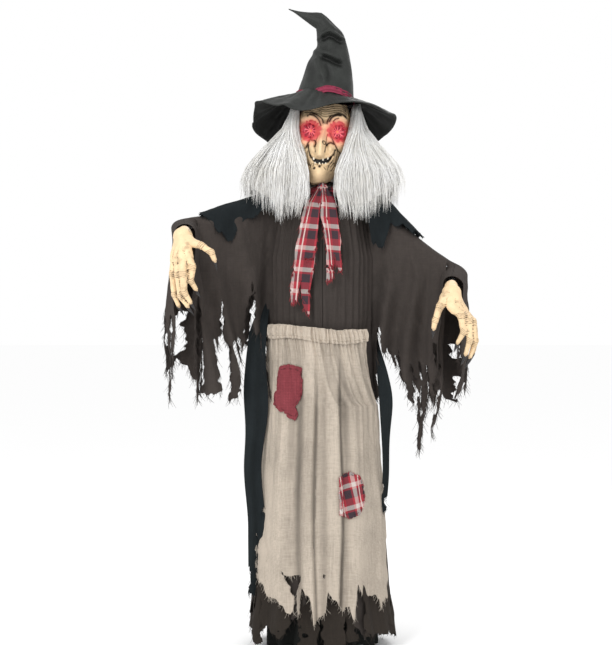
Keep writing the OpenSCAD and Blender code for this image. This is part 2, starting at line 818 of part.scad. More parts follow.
function sleeve_section(s, n, half, drop) =
    concat(
        [for (k = [0:3]) [s.x + n.x * half, s.y + n.y * half,
                          s[3] + (s.z - half - drop - s[3]) * k / 3]],
        [for (a = [30:30:150]) [s.x + n.x * half * cos(a), s.y + n.y * half * cos(a),
                                s.z - half - drop + half * sin(a)]],
        [for (k = [3:-1:0]) [s.x - n.x * half, s.y - n.y * half,
                             s[3] + (s.z - half - drop - s[3]) * k / 3]]
    );

module sleeve(stops, side) {
    count = len(stops);
    function tangent(i) =
        unit([stops[min(i + 1, count - 1)].x - stops[max(i - 1, 0)].x,
              stops[min(i + 1, count - 1)].y - stops[max(i - 1, 0)].y]);
    function normal(i) = let (t = tangent(i)) [t.y, -t.x];
    grid = function (half, drop)
        [for (i = [0:count - 1]) sleeve_section(stops[i], normal(i), half, drop)];
    color("#2e2927")
        skin(grid(sleeve_half, 0), grid(sleeve_half - cloth_t, cloth_t));
}

module sleeve_right() {
    sleeve(stops_right, -1);
}

module sleeve_left() {
    sleeve(stops_left, 1);
}

// ---------------------------------------------------------------- head

head_y = -8;
head_sections = [
    [1, 42, 50], [28, 56, 66], [72, 63, 76], [130, 68, 82],
    [180, 64, 78], [215, 48, 60], [232, 22, 28]
];
skull_t = 3;
lamp_x = 39;
lamp_z = head_z + 144;
lamp_r = 16;
lamp_y = 56;
lean = 0.1;

// The head leans: its middle moves to +X with height, from a point in the cheeks.
function lean_x(dz) = (dz - 110) * lean;

function head_rings(grow) =
    [for (s = head_sections)
        ring([lean_x(s[0]), head_y, head_z + s[0] + (s[0] > 200 ? min(grow, 0) : 0)],
             s[1] + grow, s[2] + grow)];

module at_lamps() {
    for (s = [-1, 1])
        translate([s * lamp_x + lean_x(lamp_z - head_z), 0, lamp_z])
            rotate([90, 0, 0]) children();
}

module neck_shaft() {
    color("#b9bcc0")
        difference() {
            translate([0, 0, gearbox_z + case_floor + 0.3])
                cylinder(r = shaft_r, h = head_z + 22 - gearbox_z - case_floor, $fn = fn_round);
            translate([0, 0, gearbox_z]) cylinder(r = 3, h = 400, $fn = 32);
        }
}

module head_gear() {
    color("#e8e4d8")
        translate([0, 0, low_gear_z - 0.5]) gear(head_teeth, low_gear_h, 0, shaft_r);
}

module head_plate() {
    color("#3a3c40")
        difference() {
            union() {
                translate([0, head_y / 2, head_z - 5]) cylinder(r = 34, h = 5, $fn = fn_round);
                translate([0, 0, head_z - 20]) cylinder(r = 12, h = 34, $fn = fn_round);
            }
            translate([0, 0, head_z - 21]) cylinder(r = shaft_r, h = 60, $fn = fn_round);
        }
}

module head_form() {
    inner = [for (r = head_rings(-skull_t)) [for (p = r) p]];
    color("#d8d2c4")
        difference() {
            cup(head_rings(0), inner);
            at_lamps() cylinder(r = lamp_r + 1, h = 140, $fn = 32);
        }
}

module eye_lamps() {
    color("#d21f1f")
        at_lamps() {
            translate([0, 0, lamp_y]) cylinder(r = lamp_r, h = 16, $fn = 32);
            translate([0, 0, lamp_y + 15]) cylinder(r1 = lamp_r, r2 = 6, h = 8, $fn = 32);
        }
}

module head_wiring() {
    color("#7a1d1d")
        for (s = [-1, 1])
            run([[s * 2, 0, head_z + 28], [s * 14, -14, head_z + 60],
                 [s * 30 + 4, -36, lamp_z - 10], [s * 30 + 4, 0.5 - lamp_y, lamp_z]], wire_r);
}

// The mask wraps the front of the head form; its outside swells at the nose and the chin.
mask_span = 164;
mask_z = [-4, 16, 36, 56, 76, 96, 116, 136, 156, 176, 196, 212];
function head_at(dz, col) = between(head_sections, max(1, dz), col);
function swell(a, dz) =
    34 * exp(-pow((a + 90) / 9, 2) - pow((dz - 92) / 26, 2))
    + 20 * exp(-pow((a + 90) / 24, 2) - pow((dz - 18) / 20, 2));
function mask_grid(gap, proud) =
    [for (dz = mask_z)
        [for (j = [0:30])
            let (a = -90 - mask_span / 2 + mask_span * j / 30, g = gap + proud * swell(a, dz))
            [lean_x(dz) + (head_at(dz, 1) + g) * cos(a), head_y + (head_at(dz, 2) + g) * sin(a),
             head_z + dz]]];

module mask() {
    color("#dcbf8e")
        difference() {
            skin(mask_grid(5.5, 1), mask_grid(1.5, 0.9));
            at_lamps() cylinder(r = lamp_r + 1, h = 140, $fn = 32);
        }
}

// The wig hangs from the hat to just above the shoulders, open in front of the face.
hair_open = 52;
hair_sections = [
    [-20, 222, 150], [4, 192, 138], [40, 148, 126], [90, 118, 116],
    [150, 104, 108], [190, 97, 104], [222, 92, 99]
];
hair_t = 12;

module hair() {
    rows = function (grow)
        [for (s = hair_sections)
            ring([0, 0, head_z + s[0]], s[1] + grow, s[2] + grow, 0,
                 -90 + hair_open, 360 - 2 * hair_open, 36)];
    color("#e6e4dc") skin(rows(0), rows(-hair_t));
}

// Locks of the wig that lie on the chest.
module hair_ends() {
    span = 36;
    z0 = shoulder_z - 62;
    z1 = head_z - 22;
    color("#e6e4dc")
        for (s = [-1, 1]) {
            mid = -90 + s * 40;
            rows = function (g)
                [for (z = [z0, (z0 + z1) / 2, z1])
                    ring([0, 0, z], 156 + g, 104 + g, 0, mid - span / 2, span, 10)];
            skin(rows(14), rows(2));
        }
}

// ---------------------------------------------------------------- hat

// Sections of the crown: [x, rise, half width, half depth, lean]
crown_sections = [
    [6, 0, 82, 92, 4], [9, 30, 78, 86, 3], [18, 84, 65, 68, 2], [26, 142, 43, 48, -4],
    [20, 188, 35, 36, -20], [4, 217, 27, 27, -50], [-24, 230, 19, 20, -72],
    [-60, 240, 10, 10, -76], [-96, 249, 2.5, 2.5, -78]
];
felt = 3;

function crown_rings(grow, count) =
    [for (k = [0:count - 1])
        let (s = crown_sections[k])
        ring([s[0], -4, hat_z + s[1]], s[2] + grow, s[3] + grow, s[4])];

module hat_crown() {
    color("#20221f") cup(crown_rings(0, len(crown_sections)), crown_rings(-felt, 7));
}

// The brim waves: its edge drops at the sides and more at the back.
brim_x = 206;
brim_y = 196;
brim_in_x = 77;
brim_in_y = 87;
crown_lean = 4;
function brim_drop(a, t) =
    t * t * (62 + 24 * sin(a) + 44 * max(0, sin(a)) * abs(cos(a)) + 8 * sin(3 * a + 40));
function brim_rings(lift) =
    [for (k = [0:5])
        let (t = k / 5)
        [for (j = [0:59])
            let (a = -6 * j, x = (brim_in_x + (brim_x - brim_in_x) * t) * cos(a))
            [6 + x, -4 + (brim_in_y + (brim_y - brim_in_y) * t) * sin(a),
             hat_z - 1 - x * (1 - t) * sin(crown_lean) - brim_drop(a, t) + lift]]];

module hat_brim() {
    color("#1f211e") skin(brim_rings(0), brim_rings(-felt), true);
}

module hat_band() {
    band = function (grow)
        [for (h = [2, 22])
            let (f = h / 30, a = crown_sections[0], b = crown_sections[1])
            ring([a[0] + (b[0] - a[0]) * f, -4, hat_z + h], a[2] + (b[2] - a[2]) * f + grow,
                 a[3] + (b[3] - a[3]) * f + grow, a[4])];
    color("#8d3550") skin(band(3.2), band(1), true);
}

// ---------------------------------------------------------------- clothes

// Outside half width and half depth of the dress at each height
dress_sections = [
    [12, 196, 178], [200, 184, 162], [450, 164, 140], [620, 150, 125], [905, 142, 104],
    [shoulder_z - 125, 145, 96], [shoulder_z + 14, 145, 88],
    [shoulder_z + 24, 112, 76], [shoulder_z + 32, 68, 60]
];
robe_sections = [
    [3, 158, 150], [200, 156, 144], [450, 146, 126], [720, 134, 104], [905, 128, 90],
    [shoulder_z - 40, 130, 78]
];

function section_rings(table, grow) =
    [for (s = table) ring([0, 0, s[0]], s[1] + grow, s[2] + grow, 0, 0, 360, 48)];

module under_robe() {
    color("#15171a")
        skin(section_rings(robe_sections, 0), section_rings(robe_sections, -cloth_t), true);
}

module dress() {
    color("#322c29")
        difference() {
            skin(section_rings(dress_sections, 0), section_rings(dress_sections, -cloth_t), true);
            for (s = [-1, 1])
                translate([s > 0 ? 112 : -212, -50, shoulder_z - 30]) cube([100, 100, 200]);
        }
}

// Rings of the cape: [half width, half depth, rise at the sides, rise at front and back]
cape_sections = [[150, 99, 24, -50], [146, 97, 28, 0], [113, 89, 39, 37], [70, 62, 46, 46]];

module cape() {
    rows = function (g)
        [for (s = cape_sections)
            [for (p = ring([0, 0, shoulder_z], s[0] - g, s[1] - g, 0, 0, 360, 48))
                let (f = pow(p.y / (s[1] - g), 2))
                [p.x, p.y, p.z + s[2] + (s[3] - s[2]) * f - g]]];
    color("#1a2024") skin(rows(0), rows(2.5), true);
}

// A panel that lies on the dress between two heights and two directions.
module panel(z0, z1, from, to, low, high, steps = 8, cols = 17, flare = 0) {
    rows = function (g)
        [for (k = [0:steps])
            let (z = z0 + (z1 - z0) * k / steps, end = to + flare * (1 - k / steps))
            ring([0, 0, z], between(dress_sections, z, 1) + g, between(dress_sections, z, 2) + g,
                 0, from, end - from, cols)];
    skin(rows(high), rows(low));
}

apron_top = 905;
band_h = 34;

apron_from = -163;
apron_to = -40;

module apron() {
    color("#b8a792")
        panel(96, apron_top - band_h - 1, apron_from, apron_to, 1, 1 + cloth_t, 9, 23, 24);
}

module waistband() {
    color("#c2b29d")
        panel(apron_top - band_h, apron_top, apron_from - 2, apron_to + 2, 1, 7, 1, 23);
}

// Half the angle that a patch covers, and the directions that the patches face
plum_half = plum_patch_w / 2 * 0.42;
plaid_half = plaid_patch_w / 2 * 0.36;
plum_dir = -129;
plaid_dir = -60;

module patch_plum() {
    color("#7c2c3f")
        panel(636, 782, plum_dir - plum_half, plum_dir + plum_half, 5.5, 8, 4, 7);
}

module patch_plaid() {
    color("#a8343c")
        panel(366, 488, plaid_dir - plaid_half, plaid_dir + plaid_half, 5.5, 8, 4, 7);
}

scarf_r = 13;
scarf_z = shoulder_z + 62;
knot_at = [4, -70, scarf_z];

module scarf() {
    color("#a8343c") {
        translate([0, 0, scarf_z])
            rotate_extrude($fn = 64) translate([53, 0]) circle(r = scarf_r, $fn = 24);
        translate(knot_at) sphere(r = 16, $fn = 24);
    }
}

// Rows of each tail from its end up to the knot: [z, low x, high x, y]
tail_long = [[905, -52, -26, -114], [935, -88, -22, -114], [1010, -82, -26, -112],
             [1110, -60, -14, -110], [1225, -38, -9, -106], [scarf_z - 4, -14, 0, -89]];
tail_short = [[972, 12, 54, -112], [1050, 20, 58, -111], [1110, 10, 46, -110],
              [1225, 8, 34, -106], [scarf_z - 4, 5, 20, -89]];

module scarf_tails() {
    color("#b03a40")
        for (tail = [tail_long, tail_short]) {
            rows = function (g)
                [for (s = tail) [for (k = [0:3])
                    [s[1] + (s[2] - s[1]) * k / 3, s[3] - g, s[0]]]];
            skin(rows(3), rows(0));
        }
}

// ---------------------------------------------------------------- output

base_hub();
base_legs();
leg_caps();
base_screws();
pole_lower();
pole_middle();
pole_upper();
snap_button_low();
snap_button_high();
box_case();
box_cover();
cover_screws();
battery_door();
batteries();
battery_springs();
circuit_board();
speaker();
power_switch();
try_button();
body_wiring();
gearbox_case();
gearbox_cover();
gearbox_screws();
motor();
motor_pinion();
compound_gear();
gear_pin();
neck_bushes();
shoulder_frame();
shoulder_bolts();
neck_shaft();
head_gear();
head_plate();
head_form();
eye_lamps();
head_wiring();
mask();
hair();
hat_crown();
hat_brim();
hat_band();
arm_right();
arm_left();
sleeve_right();
sleeve_left();
hand_right();
hand_left();
nails_right();
nails_left();
under_robe();
dress();
cape();
apron();
waistband();
patch_plum();
patch_plaid();
scarf();
scarf_tails();
hair_ends();
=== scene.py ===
"""Looks of the animated witch figure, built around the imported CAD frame.

Lengths are in metres in the CAD frame: front is -Y, +X is the figure's left, up is +Z.
"""
import json
import math
import random

import bpy
import numpy as np
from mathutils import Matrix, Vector


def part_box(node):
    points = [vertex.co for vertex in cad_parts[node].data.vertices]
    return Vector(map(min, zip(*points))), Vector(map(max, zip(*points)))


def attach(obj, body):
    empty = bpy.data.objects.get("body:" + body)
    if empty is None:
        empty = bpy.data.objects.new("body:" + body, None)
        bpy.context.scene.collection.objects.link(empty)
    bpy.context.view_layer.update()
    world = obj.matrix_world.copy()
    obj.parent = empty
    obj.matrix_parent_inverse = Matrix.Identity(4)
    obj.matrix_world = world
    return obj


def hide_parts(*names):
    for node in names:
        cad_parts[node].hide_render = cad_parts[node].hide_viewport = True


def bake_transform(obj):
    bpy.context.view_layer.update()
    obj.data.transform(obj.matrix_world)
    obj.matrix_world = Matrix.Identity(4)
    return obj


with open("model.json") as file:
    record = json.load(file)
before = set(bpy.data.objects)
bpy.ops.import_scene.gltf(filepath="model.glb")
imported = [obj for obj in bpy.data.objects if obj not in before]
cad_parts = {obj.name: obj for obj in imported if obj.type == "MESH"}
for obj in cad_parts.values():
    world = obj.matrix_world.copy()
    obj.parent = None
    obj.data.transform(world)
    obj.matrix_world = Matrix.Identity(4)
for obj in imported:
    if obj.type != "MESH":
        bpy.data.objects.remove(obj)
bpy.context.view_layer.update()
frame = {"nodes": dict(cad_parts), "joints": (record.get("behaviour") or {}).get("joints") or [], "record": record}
JOINTS = {joint["name"]: joint for joint in frame["joints"]}

# Places that the pieces share, from the frame
HEAD_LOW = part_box("head_form")[0].z
HAT_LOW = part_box("hat_crown")[0].z
HAT_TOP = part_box("hat_crown")[1].z
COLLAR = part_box("cape")[1].z
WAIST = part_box("waistband")[1].z
SIGN = {"right": -1, "left": 1}
MM = 0.001
# How far the head leans towards +X for each metre of height, and where the lean starts: over the face's
# foot, and over the floor for the wig
LEAN = 0.1
FACE_LEAN_AT = 0.110
WIG_LEAN_AT = 1.40
# From an elbow to its wrist joint
FOREARM = 0.145
# Usual cloth thickness, and two distances out from the middle at the shoulder, from which follow_arm makes two
# points that it does not use
CLOTH = 0.0012
SHOULDER_FOLD = (0.12, 0.19)


# ------------------------------------------------------------------ noise and curves


def lattice(i, j, k, seed):
    """A repeatable random value from -1 to 1 at whole-number points."""
    n = (i * 73856093) ^ (j * 19349663) ^ (k * 83492791) ^ (seed * 26544357)
    n = (n ^ (n >> 13)) & 0xFFFFFFFF
    n = (n * 1274126177) & 0xFFFFFFFF
    n = n ^ (n >> 16)
    return (n & 0xFFFFFF) / 0xFFFFFF * 2 - 1


def noise(x, y=0.0, z=0.0, seed=0):
    """Smooth noise from -1 to 1; x, y and z are arrays or numbers."""
    x, y, z = np.broadcast_arrays(*(np.asarray(a, float) for a in (x, y, z)))
    parts = []
    for a in (x, y, z):
        low = np.floor(a).astype(np.int64)
        f = a - low
        parts.append((low, f * f * (3 - 2 * f)))
    total = np.zeros(x.shape)
    for di in (0, 1):
        for dj in (0, 1):
            for dk in (0, 1):
                w = 1.0
                for (low, f), d in zip(parts, (di, dj, dk)):
                    w = w * (f if d else 1 - f)
                total = total + w * lattice(parts[0][0] + di, parts[1][0] + dj, parts[2][0] + dk, seed)
    return total


def fbm(x, y=0.0, z=0.0, seed=0, octaves=3):
    """Noise summed over octaves."""
    x, y, z = (np.asarray(a, float) for a in (x, y, z))
    total, size = 0.0, 1.0
    for k in range(octaves):
        total = total + size * noise(x * 2**k, y * 2**k, z * 2**k, seed + 17 * k)
        size /= 2
    return total


def ease(x, a, b):
    """0 before a, 1 after b, smooth between."""
    t = np.clip((np.asarray(x, float) - a) / (b - a), 0, 1)
    return t * t * (3 - 2 * t)


def bump(d, r):
    """A round hill of height 1 and radius r at distance d."""
    return np.exp(-((np.asarray(d, float) / r) ** 2))


def run(path):
    """Distance along a path at each of its points."""
    return np.concatenate([[0], np.cumsum(np.linalg.norm(np.diff(path, axis=0), axis=1))])


def stops_at(x, stops):
    """The value at x in a table of (place, value) stops."""
    return np.interp(x, [p[0] for p in stops], [p[1] for p in stops])


def in_metres(path):
    """A path of points in millimetres, in metres."""
    return [(x * MM, z * MM) for x, z in path]


def spline(points, n):
    """n points along a smooth curve through the given ones."""
    p = np.array([list(q) for q in points], float)
    along = run(p)
    p = np.vstack([2 * p[0] - p[1], p, 2 * p[-1] - p[-2]])
    out = []
    for s in np.linspace(0, along[-1], n):
        k = min(int(np.searchsorted(along, s, side="right")) - 1, len(along) - 2)
        t = (s - along[k]) / (along[k + 1] - along[k])
        a, b, c, d = p[k:k + 4]
        out.append(0.5 * (2 * b + (c - a) * t + (2 * a - 5 * b + 4 * c - d) * t**2
                          + (3 * b - a - 3 * c + d) * t**3))
    return np.array(out)


def groove(x, z, points, width):
    """How deep each place lies in a crease that runs through the given points."""
    line = spline([(px, pz, 0) for px, pz in points], 40)[:, :2]
    d = np.full(x.shape, 9.0)
    for p, q in zip(line[:-1], line[1:]):
        v = q - p
        t = np.clip(((x - p[0]) * v[0] + (z - p[1]) * v[1]) / max(v @ v, 1e-12), 0, 1)
        d = np.minimum(d, np.hypot(x - p[0] - t * v[0], z - p[1] - t * v[1]))
    return bump(d, width)


# ------------------------------------------------------------------ mesh helpers


def add_mesh(name, verts, faces, material, smooth=True):
    """A new object from vertices and faces."""
    mesh = bpy.data.meshes.new(name)
    mesh.from_pydata([tuple(v) for v in verts], [], [tuple(f) for f in faces])
    mesh.validate()
    mesh.update()
    if smooth:
        mesh.polygons.foreach_set("use_smooth", [True] * len(mesh.polygons))
    mesh.materials.append(material)
    obj = bpy.data.objects.new(name, mesh)
    bpy.context.scene.collection.objects.link(obj)
    return obj


def apply_modifiers(obj):
    """Puts the object's modifiers into its mesh."""
    graph = bpy.context.evaluated_depsgraph_get()
    mesh = bpy.data.meshes.new_from_object(obj.evaluated_get(graph))
    obj.modifiers.clear()
    obj.data = mesh
    return obj


def thicken(obj, thickness, offset=0.0):
    """Gives a surface its thickness, to both sides unless offset is -1 or 1."""
    m = obj.modifiers.new("Thickness", "SOLIDIFY")
    m.thickness = thickness
    m.offset = offset
    return apply_modifiers(obj)


def set_shade(obj, name, values):
    """Stores a number per vertex that a material reads."""
    attribute = obj.data.attributes.new(name, "FLOAT", "POINT")
    attribute.data.foreach_set("value", np.asarray(values, np.float32))


def grid_faces(rows, cols, wrap=False):
    """Quads over a grid of points; wrap joins the last column to the first."""
    last = cols if wrap else cols - 1
    return [(i * cols + j, i * cols + (j + 1) % cols, (i + 1) * cols + (j + 1) % cols, (i + 1) * cols + j)
            for i in range(rows - 1) for j in range(last)]


def stack_faces(start, rings, around):
    """Faces of a closed tube whose rings of vertices follow each other from start."""
    faces = []
    for i in range(rings - 1):
        for j in range(around):
            p, q = start + i * around + j, start + i * around + (j + 1) % around
            faces.append((p, q, q + around, p + around))
    faces.append(tuple(start + j for j in reversed(range(around))))
    faces.append(tuple(start + (rings - 1) * around + j for j in range(around)))
    return faces


def mesh_area(obj):
    """The area of an object's faces."""
    return sum(p.area for p in obj.data.polygons)


def cut_cloth(points, field):
    """The part of a grid of points where field is above zero: vertices, faces and cut edges."""
    rows, cols = field.shape
    flat, f = points.reshape(-1, 3), field.ravel()
    verts, faces, index, edge = [], [], {}, []

    def keep(i):
        if i not in index:
            index[i] = len(verts)
            verts.append(flat[i])
        return index[i]

    def crossing(i, j):
        key = (min(i, j), max(i, j))
        if key not in index:
            t = min(max(f[i] / (f[i] - f[j]), 0.03), 0.97)
            index[key] = len(verts)
            edge.append(len(verts))
            verts.append(flat[i] + (flat[j] - flat[i]) * t)
        return index[key]

    inside = f > 0
    for r in range(rows - 1):
        for c in range(cols - 1):
            a = r * cols + c
            quad = (a, a + 1, a + cols + 1, a + cols)
            count = sum(bool(inside[q]) for q in quad)
            if count == 4:
                faces.append([keep(q) for q in quad])
            elif count:
                for tri in ((quad[0], quad[1], quad[2]), (quad[0], quad[2], quad[3])):
                    poly = []
                    for k in range(3):
                        i, j = tri[k], tri[(k + 1) % 3]
                        if inside[i]:
                            poly.append(keep(i))
                        if inside[i] != inside[j]:
                            poly.append(crossing(i, j))
                    if len(poly) > 2:
                        faces.append(poly)
    return np.array(verts), faces, np.array(edge, int)


def drop_scraps(verts, faces, edge):
    """Keeps only the largest piece, so that no loose scrap floats in the air."""
    parent = list(range(len(verts)))

    def root(i):
        while parent[i] != i:
            parent[i] = parent[parent[i]]
            i = parent[i]
        return i

    for face in faces:
        for v in face[1:]:
            parent[root(v)] = root(face[0])
    size = {}
    for face in faces:
        size[root(face[0])] = size.get(root(face[0]), 0) + 1
    main = max(size, key=size.get)
    faces = [face for face in faces if root(face[0]) == main]
    used = sorted({v for face in faces for v in face})
    new = {v: k for k, v in enumerate(used)}
    edge = np.array([new[v] for v in edge if v in new], int)
    return verts[used], [[new[v] for v in face] for face in faces], edge


def tubes(name, lines, radii, material, sides=3):
    """Many tapered tubes in one mesh. lines are arrays of points, radii one array per line."""
    verts, faces = [], []
    turn = np.arange(sides) * 2 * math.pi / sides
    ring = np.arange(sides)
    start = 0
    for line, radius in zip(lines, radii):
        line = np.asarray(line, float)
        step = np.gradient(line, axis=0)
        step /= np.maximum(np.linalg.norm(step, axis=1)[:, None], 1e-9)
        side = np.cross(step, [0.31, 0.87, 0.38])
        side /= np.maximum(np.linalg.norm(side, axis=1)[:, None], 1e-9)
        other = np.cross(step, side)
        round_it = side[:, None] * np.cos(turn)[None, :, None] + other[:, None] * np.sin(turn)[None, :, None]
        verts.append((line[:, None] + np.asarray(radius)[:, None, None] * round_it).reshape(-1, 3))
        low = start + (np.arange(len(line) - 1)[:, None] * sides + ring).ravel()
        beside = start + (np.arange(len(line) - 1)[:, None] * sides + (ring + 1) % sides).ravel()
        faces += np.stack([low, beside, beside + sides, low + sides], 1).tolist()
        faces.append((start + ring[::-1]).tolist())
        start += len(line) * sides
        faces.append((start - sides + ring).tolist())
    return add_mesh(name, np.vstack(verts), faces, material)


def frays(name, verts, edge, material, share, longest, seed, radius=0.0005):
    """Loose threads that hang from a cloth's torn edges."""
    rng = random.Random(seed)
    lines, radii = [], []
    for i in edge:
        if rng.random() > share:
            continue
        length = longest * rng.uniform(0.15, 1) ** 1.6
        drift = Vector((rng.uniform(-0.5, 0.5), rng.uniform(-0.4, 0.4), 0))
        curl = rng.uniform(-0.35, 0.35)
        line = []
        for k in range(5):
            t = k / 4
            x = drift.x * t + curl * t * t
            point = np.array(verts[i]) + length * np.array([x, drift.y * t * t, -t * 0.9]) + [0, 0, 0.002]
            line.append(np.maximum(point, [-9, -9, 0.002]))
        lines.append(line)
        radii.append([radius, radius, radius * 0.9, radius * 0.8, radius * 0.5])
    return tubes(name, lines, radii, material)


def cloth_piece(name, points, field, material, threads, longest, seed, thickness=CLOTH, radius=0.0005,
                thread_material=None, paint=None):
    """A cloth cut from a grid of points where field is above zero, with its loose threads and its area.

    paint(cloth, verts) stores the numbers that its material reads.
    """
    verts, faces, edge = drop_scraps(*cut_cloth(points, field))
    cloth = add_mesh(name, verts, faces, material)
    if paint:
        paint(cloth, verts)
    area = mesh_area(cloth)
    thicken(cloth, thickness)
    loose = frays(name + "_threads", verts, edge, thread_material or material, threads, longest, seed, radius)
    return cloth, loose, area


def settle(pieces, body, node=None):
    """Rides pieces on a body; the first stands for a CAD node, which is hidden."""
    for piece in pieces:
        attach(piece, body)
    if node:
        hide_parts(node)


# ------------------------------------------------------------------ materials


class Nodes:
    """Short forms for building one material's node tree."""

    def __init__(self, name):
        self.material = bpy.data.materials.new(name)
        self.material.use_nodes = True
        self.tree = self.material.node_tree
        self.shader = self.tree.nodes["Principled BSDF"]
        self.place = self.tree.nodes.new("ShaderNodeTexCoord").outputs["Object"]

    def add(self, kind, **inputs):
        node = self.tree.nodes.new(kind)
        for key, value in inputs.items():
            self.put(node, key, value)
        return node

    def put(self, node, key, value):
        socket = node.inputs[int(key[1:]) if key[0] == "i" and key[1:].isdigit() else key.replace("_", " ")]
        if isinstance(value, bpy.types.NodeSocket):
            self.tree.links.new(value, socket)
        else:
            socket.default_value = value

    def stretch(self, scale):
        node = self.add("ShaderNodeMapping", Vector=self.place)
        node.inputs["Scale"].default_value = scale
        return node.outputs["Vector"]

    def noise(self, scale, detail=3.0, rough=0.55, vector=None, distort=0.0):
        return self.add("ShaderNodeTexNoise", Vector=vector or self.place, Scale=scale, Detail=detail,
                        Roughness=rough, Distortion=distort).outputs["Fac"]

    def wave(self, scale, axis, distort=0.0, vector=None):
        node = self.add("ShaderNodeTexWave", Vector=vector or self.place, Scale=scale, Distortion=distort,
                        Detail=2.0)
        node.bands_direction = axis
        return node.outputs["Fac"]

    def cells(self, scale, vector=None):
        return self.add("ShaderNodeTexVoronoi", Vector=vector or self.place, Scale=scale).outputs["Distance"]

    def attribute(self, name):
        node = self.tree.nodes.new("ShaderNodeAttribute")
        node.attribute_name = name
        return node.outputs["Fac"]

    def math(self, kind, a, b=0.0):
        node = self.tree.nodes.new("ShaderNodeMath")
        node.operation = kind
        self.put(node, "i0", a)
        self.put(node, "i1", b)
        return node.outputs[0]

    def ramp(self, value, stops):
        node = self.add("ShaderNodeValToRGB", Fac=value)
        ramp = node.color_ramp
        while len(ramp.elements) < len(stops):
            ramp.elements.new(0.5)
        for element, (at, color) in zip(ramp.elements, stops):
            element.position = at
            element.color = (*color, 1) if len(color) == 3 else color
        return node.outputs["Color"]

    def mix(self, fac, a, b, kind="MIX"):
        node = self.tree.nodes.new("ShaderNodeMix")
        node.data_type = "RGBA"
        node.blend_type = kind
        self.put(node, "i0", fac)
        for key, value in (("i6", a), ("i7", b)):
            self.put(node, key, value if isinstance(value, bpy.types.NodeSocket) else (*value, 1))
        return node.outputs[2]

    def bump(self, height, strength, distance, under=None):
        node = self.add("ShaderNodeBump", Strength=strength, Distance=distance, Height=height)
        if under is not None:
            self.tree.links.new(under, node.inputs["Normal"])
        return node.outputs["Normal"]

    def finish(self, color, rough, normal=None, specular=0.5):
        self.put(self.shader, "Base Color", color if isinstance(color, bpy.types.NodeSocket) else (*color, 1))
        self.put(self.shader, "Roughness", rough)
        self.shader.inputs["Specular IOR Level"].default_value = specular
        if normal is not None:
            self.tree.links.new(normal, self.shader.inputs["Normal"])
        return self.material


def shades(color, low=0.6, high=1.35):
    """A darker and a lighter form of a colour."""
    return tuple(c * low for c in color), tuple(min(1, c * high) for c in color)


def weave_cloth(name, color, pitch, strength=0.5, slub=0.5, fade=None, gloss=0.15):
    """Woven cloth: crossing threads of one pitch in metres, uneven colour and slubs, and painted shade in its
    folds.
    """
    n = Nodes(name)
    dark, light = shades(color)
    warp = n.wave(0.5 / pitch / math.pi, "X", 0.8, n.stretch((1, 1, 1)))
    weft = n.wave(0.5 / pitch / math.pi, "Z", 0.8, n.stretch((1, 1, 1)))
    threads = n.math("MULTIPLY", n.math("ADD", warp, weft), 0.5)
    blotch = n.noise(9.0, 4.0)
    down = n.noise(260.0, 2.0, vector=n.stretch((1, 1, 0.08)))
    across = n.noise(260.0, 2.0, vector=n.stretch((0.08, 1, 1)))
    slubs = n.math("MULTIPLY", n.math("ADD", down, across), 0.5)
    tone = n.math("ADD", n.math("MULTIPLY", blotch, 0.6), n.math("MULTIPLY", slubs, 0.4 * slub + 0.2))
    body = n.ramp(tone, [(0.3, dark), (0.75, light)])
    shown = n.mix(n.math("MULTIPLY", threads, 0.5), body, tuple(c * 0.5 for c in color), "MIX")
    if fade is not None:
        shown = n.mix(n.math("MULTIPLY", n.noise(5.0, 5.0, 0.7), 0.35), shown, fade)
    # Painted shade: a cloth's stored fold value darkens it in its folds
    shown = n.mix(n.attribute("fold"), shown, tuple(c * 0.28 for c in color))
    normal = n.bump(threads, strength, pitch * 0.6, n.bump(slubs, 0.3, 0.001))
    return n.finish(shown, 0.95, normal, specular=gloss)


def woven_plaid(name, pitch, base, dark, pale, axis_u, axis_v):
    """Plaid: wide bands of a dark and a pale thread cross a red ground, with one thin white stripe."""
    n = Nodes(name)
    u = n.math("MULTIPLY", n.attribute(axis_u), 1 / pitch)
    v = n.math("MULTIPLY", n.attribute(axis_v), 1 / pitch)

    def band(t, low, high):
        saw = n.math("FRACT", t)
        return n.math("MULTIPLY", n.math("GREATER_THAN", saw, low), n.math("LESS_THAN", saw, high))

    def threads(t):
        color = n.mix(band(t, 0.06, 0.44), base, dark)
        return n.mix(band(t, 0.54, 0.74), color, pale)

    twill = n.wave(260.0, "DIAGONAL", 0.3)
    color = n.mix(0.5, threads(u), threads(v))
    color = n.mix(n.math("MULTIPLY", band(u, 0.865, 0.925), 0.85), color, (0.72, 0.60, 0.55))
    color = n.mix(n.math("MULTIPLY", twill, 0.25), color, tuple(c * 0.3 for c in base))
    color = n.mix(n.math("MULTIPLY", n.noise(30.0, 4.0), 0.2), color, (0.10, 0.07, 0.07))
    normal = n.bump(twill, 0.4, 0.0006, n.bump(n.noise(120.0, 3.0), 0.2, 0.001))
    return n.finish(color, 0.95, normal, specular=0.15)


def wig_fibre(name, color):
    """Silver synthetic hair: fine streaks along the strands and painted shade in its depths."""
    n = Nodes(name)
    dark, light = shades(color, 0.72, 1.15)
    strands = n.noise(420.0, 3.0, 0.6, n.stretch((1, 1, 0.03)))
    tone = n.ramp(n.math("ADD", n.math("MULTIPLY", strands, 0.7), n.math("MULTIPLY", n.noise(14.0), 0.3)),
                  [(0.32, dark), (0.62, light)])
    # Painted shade: the stored shade value darkens the hair
    tone = n.mix(n.attribute("shade"), tone, tuple(c * 0.5 for c in color))
    return n.finish(tone, 0.5, n.bump(strands, 0.4, 0.0006), specular=0.3)


